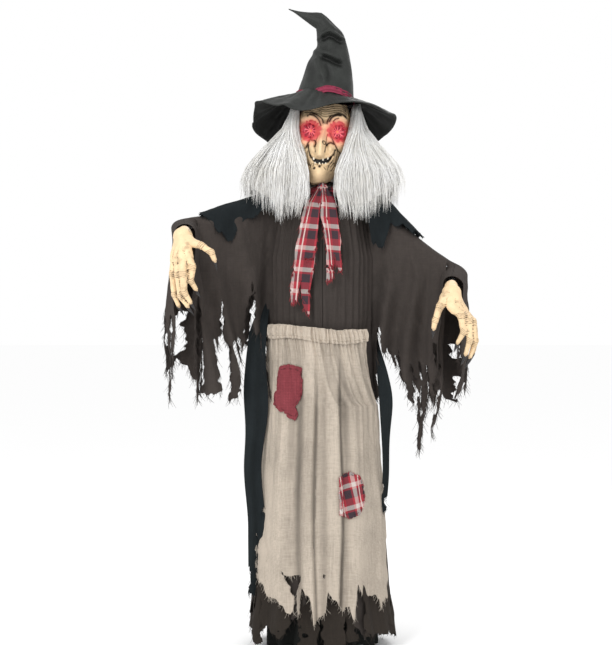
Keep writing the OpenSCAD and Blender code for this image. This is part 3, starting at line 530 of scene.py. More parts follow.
def hat_cloth(name, color, depth=0.5):
    """Stiff felt-like cloth with a dull sheen, a fine nap, scuffs, and painted shade in the hollows of its
    creases.
    """
    n = Nodes(name)
    dark, light = shades(color, 0.6, 1.5)
    nap = n.noise(700.0, 2.0)
    scuff = n.noise(16.0, 5.0, 0.65, distort=0.4)
    tone = n.ramp(n.math("ADD", n.math("MULTIPLY", scuff, 0.75), n.math("MULTIPLY", nap, 0.25)),
                  [(0.36, dark), (0.68, light)])
    # Painted shade: a stored fold value darkens the crease hollows
    tone = n.mix(n.attribute("fold"), tone, tuple(c * 0.25 for c in color))
    normal = n.bump(nap, 0.25, 0.0004, n.bump(scuff, depth, 0.004))
    return n.finish(tone, 0.6, normal, specular=0.3)


def latex_skin(name, color, shade, blush):
    """Painted latex: pale skin, a dark wash in the creases that is partly the mask's paint and partly painted
    shade, freckles and pores.
    """
    n = Nodes(name)
    crease = n.attribute("crease")
    glow = n.attribute("glow")
    red = n.attribute("red")
    black_paint_and_shade = n.attribute("ink_and_shade")
    blotch = n.noise(22.0, 5.0, 0.6)
    skin = n.ramp(blotch, [(0.3, tuple(c * 0.8 for c in color)), (0.6, color)])
    skin = n.mix(n.math("MULTIPLY", n.noise(9.0, 3.0), 0.2), skin, blush)
    # Painted light: the eye lamps' red glow painted on the skin
    skin = n.mix(glow, skin, (0.84, 0.27, 0.19))
    # The crease value darkens the skin: partly the mask's wash, partly painted shade
    edge = n.math("ADD", crease, n.math("MULTIPLY", n.math("SUBTRACT", n.noise(150.0, 3.0), 0.5), 0.3))
    wash = n.ramp(edge, [(0.16, (0, 0, 0)), (0.42, (0.35, 0.35, 0.35)), (0.8, (1, 1, 1))])
    skin = n.mix(wash, skin, shade)
    speck = n.ramp(n.noise(260.0, 2.0), [(0.66, (0, 0, 0)), (0.74, (1, 1, 1))])
    skin = n.mix(n.math("MULTIPLY", speck, 0.25), skin, shade)
    skin = n.mix(red, skin, (0.60, 0.075, 0.085))
    # Black paint on the mask, and black painted shade inside the mouth, in the nostrils, in deep folds and beyond
    # the jaw
    skin = n.mix(black_paint_and_shade, skin, (0.006, 0.004, 0.004))
    pores = n.bump(n.cells(520.0), 0.2, 0.0005, n.bump(n.noise(90.0, 4.0), 0.25, 0.001))
    n.finish(skin, 0.5, pores, specular=0.35)
    # Painted light: the skin gives off the lamps' red glow, though it is no lamp
    n.tree.links.new(n.mix(glow, (0, 0, 0), (0.75, 0.10, 0.08)), n.shader.inputs["Emission Color"])
    n.shader.inputs["Emission Strength"].default_value = 0.15
    return n.material


def lamp_lens(name):
    """Glowing eye lens: pink rays from an orange middle between dark crimson petals."""
    n = Nodes(name)
    ray = n.attribute("ray")
    rim = n.attribute("rim")
    ground = n.ramp(n.noise(120.0, 3.0), [(0.35, (0.52, 0.030, 0.055)), (0.65, (0.66, 0.075, 0.10))])
    color = n.mix(n.attribute("gap"), ground, (0.20, 0.000, 0.012))
    color = n.mix(ray, color, (0.84, 0.17, 0.20))
    color = n.mix(n.ramp(rim, [(0.05, (1, 1, 1)), (0.2, (0, 0, 0))]), color, (0.92, 0.22, 0.11))
    n.finish(color, 0.35, None, specular=0.3)
    n.tree.links.new(color, n.shader.inputs["Emission Color"])
    n.shader.inputs["Emission Strength"].default_value = 0.12
    n.shader.inputs["Coat Weight"].default_value = 0.15
    return n.material


def hard_surface(name, color, rough, metal=0.0, grain=180.0, strength=0.12):
    """Paint, plastic or bare metal with fine grain and uneven gloss."""
    n = Nodes(name)
    dark, light = shades(color, 0.82, 1.15)
    fine = n.noise(grain, 4.0, 0.6)
    broad = n.noise(14.0, 4.0)
    tone = n.ramp(n.math("ADD", n.math("MULTIPLY", fine, 0.4), n.math("MULTIPLY", broad, 0.6)),
                  [(0.35, dark), (0.68, light)])
    gloss = n.math("ADD", n.math("MULTIPLY", broad, 0.16), rough - 0.08)
    material = n.finish(tone, gloss, n.bump(fine, strength, 0.0004))
    n.shader.inputs["Metallic"].default_value = metal
    return material


GAUZE_COLOR = (0.046, 0.038, 0.034)
RAG_COLOR = (0.026, 0.021, 0.017)
ROBE_COLOR = (0.012, 0.013, 0.012)
CAPE_COLOR = (0.014, 0.018, 0.020)
LINEN_COLOR = (0.455, 0.393, 0.325)
PLUM_COLOR = (0.22, 0.045, 0.055)
HAT_COLOR = (0.018, 0.020, 0.018)
PLAID_PITCH = 0.060
M = {
    "gauze": weave_cloth("GauzeCloth", GAUZE_COLOR, 0.0016, 0.9, 1.0, (0.075, 0.064, 0.058)),
    "robe": weave_cloth("RobeCloth", ROBE_COLOR, 0.001, 0.4),
    "rags": weave_cloth("RagCloth", RAG_COLOR, 0.0016, 0.9, 1.0, (0.046, 0.037, 0.031)),
    "cape": weave_cloth("CapeCloth", CAPE_COLOR, 0.001, 0.4),
    "linen": weave_cloth("LinenGauze", LINEN_COLOR, 0.0018, 0.9, 1.4),
    "plum": weave_cloth("PlumGauze", PLUM_COLOR, 0.0022, 1.0, 1.0),
    "plaid": woven_plaid("ScarfPlaid", PLAID_PITCH, (0.40, 0.035, 0.05), (0.030, 0.030, 0.038),
                         (0.66, 0.60, 0.56), "cloth_u", "cloth_v"),
    "wig": wig_fibre("WigFibre", (1.0, 0.97, 0.89)),
    "hat": hat_cloth("HatCloth", HAT_COLOR, 0.8),
    # Painted shade for the brim's underside: a darker copy of the hat cloth
    "underside_shade": hat_cloth("HatUndersideShade", tuple(c * 0.32 for c in HAT_COLOR), 0.3),
    "band": weave_cloth("HatBandCloth", (0.30, 0.045, 0.085), 0.0012, 0.5),
    "latex": latex_skin("MaskLatex", (0.84, 0.63, 0.38), (0.05, 0.026, 0.012), (0.72, 0.44, 0.28)),
    "lens": lamp_lens("EyeLens"),
    "nail": hard_surface("NailPaint", (0.010, 0.008, 0.008), 0.22),
    "tooth": hard_surface("ToothPaint", (0.80, 0.74, 0.60), 0.35),
    "thread_pale": hard_surface("PaleThread", (0.50, 0.44, 0.37), 0.8),
}


# ------------------------------------------------------------------ body outline


def outline(node):
    """Heights of a CAD tube's rings with the outside half width and half depth at each."""
    rings = {}
    for v in frame["nodes"][node].data.vertices:
        rings.setdefault(round(v.co.z, 3), []).append((abs(v.co.x), abs(v.co.y)))
    full = max(len(ring) for ring in rings.values())
    z = sorted(k for k, ring in rings.items() if len(ring) > 0.6 * full)
    return np.array(z), np.array([max(p[0] for p in rings[k]) for k in z]), np.array(
        [max(p[1] for p in rings[k]) for k in z])


DRESS = outline("dress")
ROBE = outline("under_robe")


def on_body(shape, angle, z, proud=0.0):
    """The point of a body outline at an angle from the front, in radians towards +X."""
    hx = np.interp(z, shape[0], shape[1]) + proud
    hy = np.interp(z, shape[0], shape[2]) + proud
    return np.stack([hx * np.sin(angle), -hy * np.cos(angle), z * np.ones_like(angle)], axis=-1)


def angle_at(shape, x, z):
    """The angle from the front whose point lies at x."""
    hx = np.interp(z, shape[0], shape[1])
    return np.arcsin(np.clip(x / hx, -0.999, 0.999))


# ------------------------------------------------------------------ torn cloth


def inside_outline(x, y, corners):
    """How far each place lies inside a closed outline of corners; negative outside."""
    d = np.full(np.shape(x), 9.0)
    crossings = np.zeros(np.shape(x), int)
    for (ax, ay), (bx, by) in zip(corners, corners[1:] + corners[:1]):
        vx, vy = bx - ax, by - ay
        t = np.clip(((x - ax) * vx + (y - ay) * vy) / (vx * vx + vy * vy), 0, 1)
        d = np.minimum(d, np.hypot(x - ax - t * vx, y - ay - t * vy))
        spans = (ay > y) != (by > y)
        at = ax + (y - ay) * vx / (vy if vy else 1e-9)
        crossings += (spans & (x < at)).astype(int)
    return np.where(crossings % 2 == 1, d, -d)


def rags(s, t, width, length, seed, strip=0.05, shortest=0.7, slit=(0.45, 0.95), gap=0.3,
         ragged=0.006, holes=0.0, shape=((0, 1), (1, 1)), taper=0.7):
    """How a hanging cloth is torn into strips.

    s runs along its width and t down its length, in metres; shape gives the share of the length that is
    left at places across the width, and taper how pointed the strips end. Returns the field that cut_cloth
    takes, and for each point its strip's number, place across it and how free it hangs.
    """
    rng = random.Random(seed)
    edges = [0.0]
    while edges[-1] < width - 0.4 * strip:
        edges.append(edges[-1] + strip * rng.uniform(0.55, 1.5))
    edges[-1] = width
    edges = np.array(edges)
    count = len(edges) - 1
    lengths = length * np.array([rng.uniform(shortest, 1) for _ in range(count)])
    slits = length * np.array([rng.uniform(*slit) for _ in range(count + 1)])
    kept = stops_at(edges / width, shape)
    lengths, slits = lengths * (kept[1:] + kept[:-1]) / 2, slits * kept
    k = np.clip(np.searchsorted(edges, s, side="right") - 1, 0, count - 1)
    w = edges[k + 1] - edges[k]
    x = (s - edges[k]) / w
    rough = ragged * fbm(s * 70, t * 55, seed * 1.3, seed, 3)
    neck = 0.8 + 1.0 * noise(k * 3.3, t * 15, seed, seed + 2)

    def half_gap(start):
        share = np.clip((t - start) / (length - start + 0.001), 0, 1)
        cut_in = w * np.clip(gap * np.minimum(2.5 * share, 1) ** 0.5 * neck, 0.02, 0.40)
        return np.where(t > start, 0.0012 + cut_in - rough, -0.05)

    left = x * w - half_gap(slits[k])
    right = (1 - x) * w - half_gap(slits[k + 1])
    end = lengths[k] - t - taper * w * np.abs(2 * x - 1) ** 1.6 + 3 * rough
    field = np.minimum(np.minimum(left, right), end)
    if holes > 0:
        worn = fbm(s * 24, t * 17, 3.7, seed + 5, 3)
        depth = np.clip(t / length, 0, 1)
        field = np.minimum(field, 0.012 * (1.35 - holes * depth - worn))
    free = ease(t - np.maximum(slits[k], slits[k + 1]), 0.0, 0.2)
    return field, k, x, free


def sway(k, t, free, seed, amount):
    """How far each strip has drifted sideways and outwards."""
    side = amount * free * (noise(k * 7.31, t * 4, seed) + 0.5 * noise(k * 3.7, t * 11, seed + 1.5))
    out = amount * free * noise(k * 5.11 + 50, t * 5, seed + 3.3)
    return side, out


def hang(name, place, width, length, cell, material, seed, threads=0.3, longest=0.03, **cut):
    """A torn cloth. place(s, t, k, x, free) gives its points; returns what cloth_piece does."""
    s, t = np.meshgrid(np.linspace(0, width, max(4, int(width / cell[0]))),
                       np.linspace(0, length, max(4, int(length / cell[1]))))
    field, k, x, free = rags(s, t, width, length, seed, **cut)
    return cloth_piece(name, place(s, t, k, x, free), field, material, threads, longest, seed + 9)


def flat_sheet(cloth, loose, area, flat):
    """Works out the share of a torn cloth's cut size that its area covers, and keeps nothing."""
    width, length = flat
    share = min(max(area, 0.31 * width * length), width * length)


# ------------------------------------------------------------------ clothes on the body


def under_robe():
    """Plain black robe with soft folds, from the chest to a straight hem on the floor."""
    rows, cols = 70, 240
    low, high = ROBE[0][0] + 0.001, ROBE[0][-1]
    z, a = np.meshgrid(np.linspace(low, high, rows), np.linspace(0, 2 * math.pi, cols, endpoint=False),
                       indexing="ij")
    deep = 0.004 + 0.007 * (1 - z / high)
    fold = deep * np.sin(13 * a + 2.2 * noise(np.cos(a) * 2, np.sin(a) * 2, z * 2, 3))
    p = on_body(ROBE, a, z, -0.010 + fold)
    robe = add_mesh("under_robe_cloth", p.reshape(-1, 3), grid_faces(rows, cols, True), M["robe"])
    thicken(robe, 0.0014)
    settle([robe], "stand", "under_robe")


def dress():
    """Brown gauze dress: pleated bodice, ragged skirt, flat where the apron lies on it."""
    top = DRESS[0][-1]
    length = top - 0.012
    width = 2 * math.pi * 0.165

    def place(s, t, k, x, free):
        a = 2 * math.pi * s / width
        z = top - t
        chest = ease(z, 0.86, 0.93)
        covered = ease(np.cos(a), 0.1, 0.5) * (1 - chest)
        pleat = 0.0035 * np.sin(34 * a + 1.2 * noise(a * 3, z * 3, 0, 5)) * chest
        fold = 0.003 + 0.013 * (1 - chest) * (1 - z / top) * (1 - 0.92 * covered)
        fold = fold * np.sin(11 * a + 2.5 * noise(np.cos(a), np.sin(a), z, 6))
        gather = 0.002 * fbm(a * 14, z * 5, 2.0, 8) * (1 - 0.6 * covered)
        side, out = sway(k, t, free, 11, 0.011)
        out = np.abs(out) * 0.5 * (1 - covered)
        return on_body(DRESS, a + side / 0.17, z, -0.004 - 0.006 * covered + pleat + fold + gather + out)

    cloth, loose, area = hang("dress_cloth", place, width, length, (0.0048, 0.006), M["gauze"], 21,
                              threads=0.25, longest=0.035, strip=0.085, shortest=0.86, slit=(0.74, 0.93),
                              gap=0.2, holes=0.42)
    flat_sheet(cloth, loose, area, (width, length))
    settle([cloth, loose], "stand", "dress")


def hem_rags():
    """Torn brown panels that hang below the apron and the dress, in front and round the back."""
    # Each panel: angle of its middle from the front and half its spread in radians, top height, length, how
    # far it stands out in metres, and a seed
    panels = [(-0.80, 0.27, 0.32, 0.295, 0.004, 31), (-1.12, 0.13, 0.30, 0.296, 0.008, 32),
              (-0.21, 0.17, 0.26, 0.258, 0.002, 33), (0.16, 0.20, 0.26, 0.246, 0.004, 34),
              (0.46, 0.11, 0.24, 0.205, 0.000, 35), (0.88, 0.26, 0.30, 0.255, 0.006, 36),
              (1.20, 0.16, 0.28, 0.215, 0.010, 40), (1.75, 0.42, 0.38, 0.36, 0.002, 37),
              (-1.72, 0.46, 0.40, 0.38, 0.002, 39), (2.55, 0.55, 0.34, 0.32, 0.0, 41),
              (-2.6, 0.58, 0.36, 0.35, 0.0, 43)]
    for index, (middle, spread, top, reach, proud, seed) in enumerate(panels):
        width = 2 * spread * 0.19
        strip = 0.055 if spread > 0.4 else 1.2 * width

        def place(s, t, k, x, free):
            a = middle + (s / width * 2 - 1) * spread * (1 + 0.25 * ease(t, 0.10, 0.28))
            z = top - t
            side, out = sway(k, t, free, seed, 0.014)
            drift = 0.03 * noise(t * 6, seed) * ease(t, 0.08, 0.3)
            ripple = 0.006 * np.sin(15 * a + seed) * ease(t, 0, 0.1) + 0.003 * fbm(a * 9, z * 12, seed, 3)
            flare = 0.012 * ease(t, 0.08, 0.3) - 0.024 * (1 - ease(t, 0.0, 0.06))
            return on_body(DRESS, a + drift + side / 0.18, z,
                           proud - 0.009 + flare + ripple + np.abs(out) * 0.6)

        cloth, loose, area = hang(f"hem_rag_{index}", place, width, reach, (0.0032, 0.0042), M["rags"], seed,
                                  threads=0.5, longest=0.022, strip=strip, shortest=0.9, slit=(0.35, 0.6),
                                  gap=0.13, ragged=0.008, holes=0.35, taper=0.22)
        flat_sheet(cloth, loose, area, (width, reach))
        settle([cloth, loose], "stand")


def side_strips():
    """Long fringed black strips that hang close beside the apron."""
    # Name, inner edge, width and top height of each strip, and its length, in metres
    for name, inner, width, top, length, seed in (("side_strip_right", -0.150, 0.053, 1.00, 0.875, 51),
                                                  ("side_strip_left", 0.149, 0.019, 0.90, 0.58, 53)):
        sign = math.copysign(1, inner)

        def place(s, t, k, x, free):
            z = top - t
            drift = 0.008 * noise(z * 6, seed) + 0.020 * bump(z - 0.70, 0.10) * s / width
            spread = 0.014 * ease(-z, -0.9, -0.5)
            side, out = sway(k, t, free, seed, 0.006)
            out_of_dress = ease(t, 0.0, 0.13)
            px = inner + sign * (s * 0.92 * (0.3 + 0.7 * out_of_dress) + spread + drift) + side
            py = (-0.052 + 0.055 * (1 - out_of_dress) - 0.010 * ease(-z, -0.6, -0.1)
                  - 0.004 * np.sin(s * 150 + seed + 3 * z) - np.abs(out) * 0.5)
            return np.stack([px, py, z], axis=-1)

        cloth, loose, area = hang(name, place, width, length, (0.0026, 0.0042), M["cape"], seed, threads=0.9,
                                  longest=0.024, strip=0.034, shortest=0.88, slit=(0.62, 0.9), gap=0.10,
                                  ragged=0.009, holes=0.35)
        flat_sheet(cloth, loose, area, (width, length))
        settle([cloth, loose], "stand")


# ------------------------------------------------------------------ apron and patches

# How far the apron stands off the dress, and a stitch with its gap round a patch
APRON_Y = 0.008
STITCH = 0.016


def apron_edges(z):
    """Low and high X of the apron at a height."""
    low = np.interp(z, [0.20, 0.53, 0.63, 0.73, WAIST], [-0.178, -0.169, -0.165, -0.155, -0.150])
    high = np.interp(z, [0.20, 0.40, 0.56, 0.67, 0.76, 0.86, WAIST],
                     [0.178, 0.173, 0.166, 0.150, 0.130, 0.113, 0.108])
    return low, high


def across_apron(x, z):
    """How far across the apron, 0 to 1, a place in the front view lies."""
    low, high = apron_edges(z)
    a0, a1 = angle_at(DRESS, low, z), angle_at(DRESS, high, z)
    return (angle_at(DRESS, x, z) - a0) / (a1 - a0)


def apron_pleats(x, z, t):
    """Height of the apron's two long pleats, from 0 to 1: soft at their left, sharp at their right."""
    wander = 0.004 * np.sin(t * 9)
    first = ease(x - wander, -0.062, -0.046) * (1 - ease(x - wander, -0.0250, -0.0205))
    second = ease(x + wander, 0.002, 0.020) * (1 - ease(x + wander, 0.0450, 0.0495))
    third = 0.45 * ease(x, 0.058, 0.066) * (1 - ease(x, 0.068, 0.082)) * ease(z, 0.52, 0.60)
    return first + second + third


def apron_painted_shade(s, t):
    """How dark each place of the apron is painted: painted shade beside its pleats, under the band and in soft
    shadows, with broad uneven patches.
    """
    z = WAIST - t
    low, high = apron_edges(z)
    a0, a1 = angle_at(DRESS, low, z), angle_at(DRESS, high, z)
    x = np.interp(z, DRESS[0], DRESS[1]) * np.sin(a0 + (a1 - a0) * s)
    wander = 0.004 * np.sin(t * 9)
    grow = ease(t, 0.05, 0.25)
    # Painted shade: dark lines along the pleats' sharp edges, and soft painted shadows beside the pleats
    sharp = bump(x - wander + 0.0195, 0.0050) + bump(x + wander - 0.0510, 0.0050)
    soft = (0.55 * bump(x - wander + 0.064, 0.010) + 0.45 * bump(x - 0.004, 0.012)
            + 0.35 * bump(x - 0.062, 0.012))
    # Painted shade in streaks under the band, and broad uneven darker patches
    narrow = 0.30 * ease(fbm(s * 26, t * 1.6, 0, 78, 2), 0.15, 0.7) * (1 - ease(t, 0.25, 0.6))
    broad = 0.25 * ease(fbm(s * 5, t * 2.2, 0, 79, 3), -0.2, 0.8)
    return np.clip(grow * (0.85 * sharp + soft) + narrow + broad, 0, 0.9)


def apron_point(s, t, proud=0.0):
    """A point of the apron: s runs 0 to 1 across it, t down from the waist in metres."""
    z = WAIST - t
    low, high = apron_edges(z)
    a0, a1 = angle_at(DRESS, low, z), angle_at(DRESS, high, z)
    a = a0 + (a1 - a0) * s
    x = np.interp(z, DRESS[0], DRESS[1]) * np.sin(a)
    grow = ease(t, 0.03, 0.25)
    u = s * 9 + 0.5 * noise(s * 4, t * 1.6, 0.4, 71)
    broad = (0.0015 + 0.0030 * grow) * np.sin(2 * math.pi * u * 0.5 + 0.6)
    pleat = 0.0125 * apron_pleats(x, z, t) + 0.004 * bump(x + 0.105, 0.022)
    gather = 0.0032 * np.sin(s * 190 + 3 * noise(s * 20, t * 8, 0, 72)) * bump(t - 0.03, 0.07)
    fine = 0.0018 * np.sin(s * 88 + 2.2 * noise(s * 6, t * 3, 0, 76)) * (1 - 0.6 * ease(t, 0.2, 0.6))
    crumple = 0.0034 * fbm(s * 7, t * 7, 1.0, 73, 4) + 0.0014 * fbm(s * 30, t * 26, 2.0, 74, 2)
    return on_body(DRESS, a, z, APRON_Y + broad + pleat * grow + gather + fine + crumple + proud)


def apron():
    """Linen gauze apron: gathers under the band, two long pleats, a torn lower edge and a hole."""
    top = 0.034
    length = WAIST - top - 0.080
    width = 0.40
    rows, cols = 310, 220
    s, t = np.meshgrid(np.linspace(0, 1, cols), np.linspace(0, length, rows))
    z = WAIST - top - t
    points = apron_point(s, t + top)
    # The torn lower edge as (x, z) in millimetres, from the figure's right to its left
    hem = [(-180, 196), (-164, 178), (-149, 144), (-134, 149), (-118, 138), (-98, 121), (-86, 110),
           (-80, 118),
           (-76, 176), (-71, 180), (-69, 118), (-63, 116), (-60, 170), (-55, 186), (-44, 172), (-33, 162),
           (-28, 128), (-25, 92), (-15, 96), (-6, 112), (8, 120), (11, 150), (14, 190), (20, 174), (27, 157),
           (43, 141), (56, 120), (64, 136), (72, 136), (80, 106), (88, 102), (93, 148), (97, 196), (102, 178),
           (115, 155), (148, 158), (158, 142), (162, 116), (168, 132), (180, 146)]
    x = points[..., 0]
    edge_z = MM * stops_at(x * 1000, hem)
    torn = 0.006 * fbm(s * 40, 0.3, 0.9, 63, 3) + 0.006 * fbm(s * 90, t * 40, 2, 64, 2)
    field = z - edge_z + torn
    tear = [(-0.112, 0.224), (-0.096, 0.215), (-0.058, 0.222), (-0.060, 0.196), (-0.078, 0.158),
            (-0.092, 0.186)]
    hole = -inside_outline(x, z, tear) + 0.004 * fbm(s * 40, t * 60, 4, 65)
    slit = np.hypot(x - 0.004, (z - 0.216) * 0.45) - 0.0045 + 0.004 * fbm(s * 24, t * 60, 5, 68)
    sides = np.minimum(s, 1 - s) * width + 0.003 + 0.004 * fbm(t * 30, s * 3, 5, 66)
    field = np.minimum(np.minimum(field, hole), np.minimum(sides, slit))
    # The apron's painted shade, which its material reads per vertex
    folds = apron_painted_shade(s, t + top)

    def paint(cloth, verts):
        """Each vertex gets the painted shade of the nearest grid point."""
        down = (WAIST - top - verts[:, 2]) / length * (rows - 1)
        across = across_apron(verts[:, 0], verts[:, 2]) * (cols - 1)
        row = np.clip(np.rint(down), 0, rows - 1).astype(int)
        col = np.clip(np.rint(across), 0, cols - 1).astype(int)
        set_shade(cloth, "fold", folds[row, col])

    cloth, loose, area = cloth_piece("apron_cloth", points, field, M["linen"], 0.45, 0.020, 67, 0.0013,
                                     0.0004, M["thread_pale"], paint)
    flat_sheet(cloth, loose, area, (width, length))
    settle([cloth, loose], "stand", "apron")


def waistband():
    """The apron's band: a soft rolled strip, wrinkled, higher at the figure's right, with a seam below."""
    rows, cols = 22, 300
    v, s = np.meshgrid(np.linspace(0, 1, rows), np.linspace(-0.012, 1.012, cols), indexing="ij")
    x = -0.145 + 0.247 * s
    top = np.interp(x, [-0.156, -0.057, 0.038, 0.114], [0.903, 0.905, 0.889, 0.892])
    low = np.interp(x, [-0.134, -0.110, -0.038, 0.006, 0.051, 0.111],
                    [0.876, 0.870, 0.870, 0.858, 0.853, 0.862])
    z = low - 0.004 + (top - low + 0.004) * v + 0.0012 * fbm(s * 40, v * 2, 0, 83)
    roll = 0.0042 * np.sin(math.pi * np.clip(v * 0.9 + 0.1, 0, 1))
    ruche = 0.0007 * np.sin(s * 150 + 5 * noise(s * 16, v * 3, 0, 82)) * (0.5 + bump(v - 0.15, 0.2))
    wrinkle = 0.0018 * fbm(s * 9, v * 3.5, 0, 84, 3)
    seam = -0.0026 * (bump(v - 0.20, 0.04) + 0.6 * bump(v - 0.84, 0.04))
    p = apron_point(np.clip(s, 0, 1), WAIST - z, 0.004 + roll + ruche + wrinkle + seam)
    band = add_mesh("waistband_cloth", p.reshape(-1, 3), grid_faces(rows, cols), M["linen"])
    thicken(band, 0.0014)
    settle([band], "stand", "waistband")


def patch(name, node, material, x_mid, z_mid, width, height, turn, seed, rough, corners):
    """A ragged patch that lies on the apron, with a few long stitches round its edge.

    width and height are what shows in front view and corners its outline, as shares of them; turn is how
    far its weave is turned. The flat cloth wraps round the side.
    """
    n = 64
    u, v = np.meshgrid(np.linspace(-0.5, 0.5, n), np.linspace(-0.5, 0.5, n))

    def on_apron(u, v, proud):
        x, z = u * width, v * height
        return apron_point(across_apron(x_mid + x, z_mid + z), WAIST - z_mid - z, proud)

    outline = [(px * width, pz * height) for px, pz in corners]
    inner = inside_outline(u * width, v * height, outline)
    curl = 0.002 * ease(-inner, -0.010, 0.0)
    points = on_apron(u, v, 0.0035 + curl + 0.0006 * fbm(u * 9, v * 9, 0, seed))
    flat_width = float(np.linalg.norm(np.diff(points[n // 2], axis=0), axis=1).sum())
    field = inner - rough * (0.3 + 0.8 * fbm(u * 9, v * 9, 1, seed + 1, 4))
    field = np.minimum(field, 0.02 * (1.3 - fbm(u * 13, v * 13, 2, seed + 2, 3)))

    def paint(cloth, verts):
        """The turned weave, taken from the nearest grid point."""
        near = points.reshape(-1, 3)
        places = [int(np.argmin(((near - q) ** 2).sum(1))) for q in verts]
        c, w = math.cos(turn), math.sin(turn)
        set_shade(cloth, "cloth_u", (u * flat_width * c + v * height * w).ravel()[places] + 0.025)
        set_shade(cloth, "cloth_v", (v * height * c - u * flat_width * w).ravel()[places] + 0.012)

    cloth, loose, area = cloth_piece(name, points, field, material, 0.35, 0.007, seed + 3, radius=0.0004,
                                     paint=paint)
    flat_sheet(cloth, loose, area, (flat_width, height))
    lines = []
    rng = random.Random(seed)
    for (au, av), (bu, bv) in zip(corners, corners[1:] + corners[:1]):
        count = max(1, int(math.hypot((bu - au) * width, (bv - av) * height) / STITCH))
        for k in range(count):
            q = (np.linspace(0, 0.55, 5) + k + rng.uniform(0.1, 0.3)) / count
            line_u, line_v = (au + (bu - au) * q) * 0.86, (av + (bv - av) * q) * 0.86
            lines.append(on_apron(line_u, line_v, 0.0062))
    thread = tubes(name + "_stitches", lines, [[0.0005] * 5] * len(lines), M["rags"])
    settle([cloth, loose, thread], "stand", node)


# ------------------------------------------------------------------ sleeves and cape


def arm_points(side):
    """Shoulder pin, elbow and wrist of an arm, from its joints."""
    pin = Vector(JOINTS[f"arm_{side}_swing"]["pos_m"])
    wrist = Vector(JOINTS[f"hand_{side}_twist"]["pos_m"])
    along = Vector(JOINTS[f"hand_{side}_twist"]["axis"])
    return pin, wrist - along * FOREARM, wrist


def follow_arm(pieces, side, node):
    """Bakes the cloths' places into their meshes and hides the CAD node that they stand for."""
    height = arm_points(side)[0].z
    start, end = ((SIGN[side] * x, 0, height) for x in SHOULDER_FOLD)
    for piece in pieces:
        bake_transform(piece)
        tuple(start)
        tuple(end)
    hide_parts(node)


def sleeve(side, drop, seed, slit, shape, drift):
    """A wide gauze sleeve hung over the arm, torn into strips in front and behind."""
    sign = SIGN[side]
    pin, elbow, wrist = arm_points(side)
    lift = Vector((0, 0, 0.019))
    cuff = elbow.lerp(wrist, 0.62) + lift
    ridge = [(sign * 0.118, 0.0, COLLAR - 0.016), (sign * 0.16, -0.002, pin.z + 0.026),
             pin.lerp(elbow, 0.35) + lift, pin.lerp(elbow, 0.72) + lift, elbow + lift, cuff]
    path = spline(ridge, 200)
    along = run(path)
    width = float(along[-1])
    bend = along[np.argmin(np.linalg.norm(path - np.array(elbow + lift), axis=1))]
    flat_dir = np.gradient(path[:, :2], axis=0)
    flat_dir /= np.linalg.norm(flat_dir, axis=1)[:, None]
    normal = np.stack([flat_dir[:, 1], -flat_dir[:, 0]], axis=1) * sign
    half = 0.026
    arc = half * math.pi / 2
    made = []
    for layer, facing in (("front", 1), ("back", -1)):
        length = drop + arc

        def place(s, t, k, x, free):
            px, py, pz = (np.interp(s, along, path[:, i]) for i in range(3))
            nx, ny = np.interp(s, along, normal[:, 0]), np.interp(s, along, normal[:, 1])
            turn = np.clip(t / arc, 0, 1) * math.pi / 2
            below = np.maximum(t - arc, 0)
            hollow = half + 0.018 * ease(below, 0, 0.5) * (1 - 0.7 * ease(s, 0.6 * width, width))
            room = bump(s - bend, 0.07)
            hollow = hollow + 0.013 * room
            pull = 0.55 + 0.45 * ease(s, 0.0, 0.1)
            fold = (0.003 + 0.015 * ease(below, 0.0, 0.35)) * np.sin(
                s * 62 + facing + 2.6 * noise(s * 7, t * 2.4, seed, 90) + 1.1 * below * 9 * np.sin(s * 9))
            fold = fold * (1 - 0.5 * ease(s, 0.6 * width, width))
            crumple = 0.004 * fbm(s * 22, t * 14, seed * 1.0, 91, 3)
            side_move, out_move = sway(k, t, free, seed, 0.018)
            lifted = hollow * np.sin(turn) + fold * ease(t, 0.01, 0.12)
            out = facing * pull * lifted + crumple + out_move * 0.6
            slack = side_move + 0.010 * np.sin(t * 12 + s * 10) * ease(below, 0.05, 0.4)
            inward = -sign * drift * ease(below, 0.08, 0.5) * ease(s, 0.45 * width, width)
            return np.stack([px + nx * out - ny * slack + inward, py + ny * out + nx * slack,
                             pz + 0.005 * room - half * (1 - np.cos(turn)) - below], axis=-1)

        name = f"sleeve_{side}_{layer}"
        cloth, loose, area = hang(name, place, width, length, (0.0030, 0.0045), M["gauze"],
                                  seed + (7 if facing < 0 else 0), threads=0.7, longest=0.032, strip=0.031,
                                  shortest=0.70, slit=slit, gap=0.30, ragged=0.008, holes=0.55, shape=shape,
                                  taper=0.45)
        flat_sheet(cloth, loose, area, (width, length))
        made += [cloth, loose]
    follow_arm(made, side, f"sleeve_{side}")


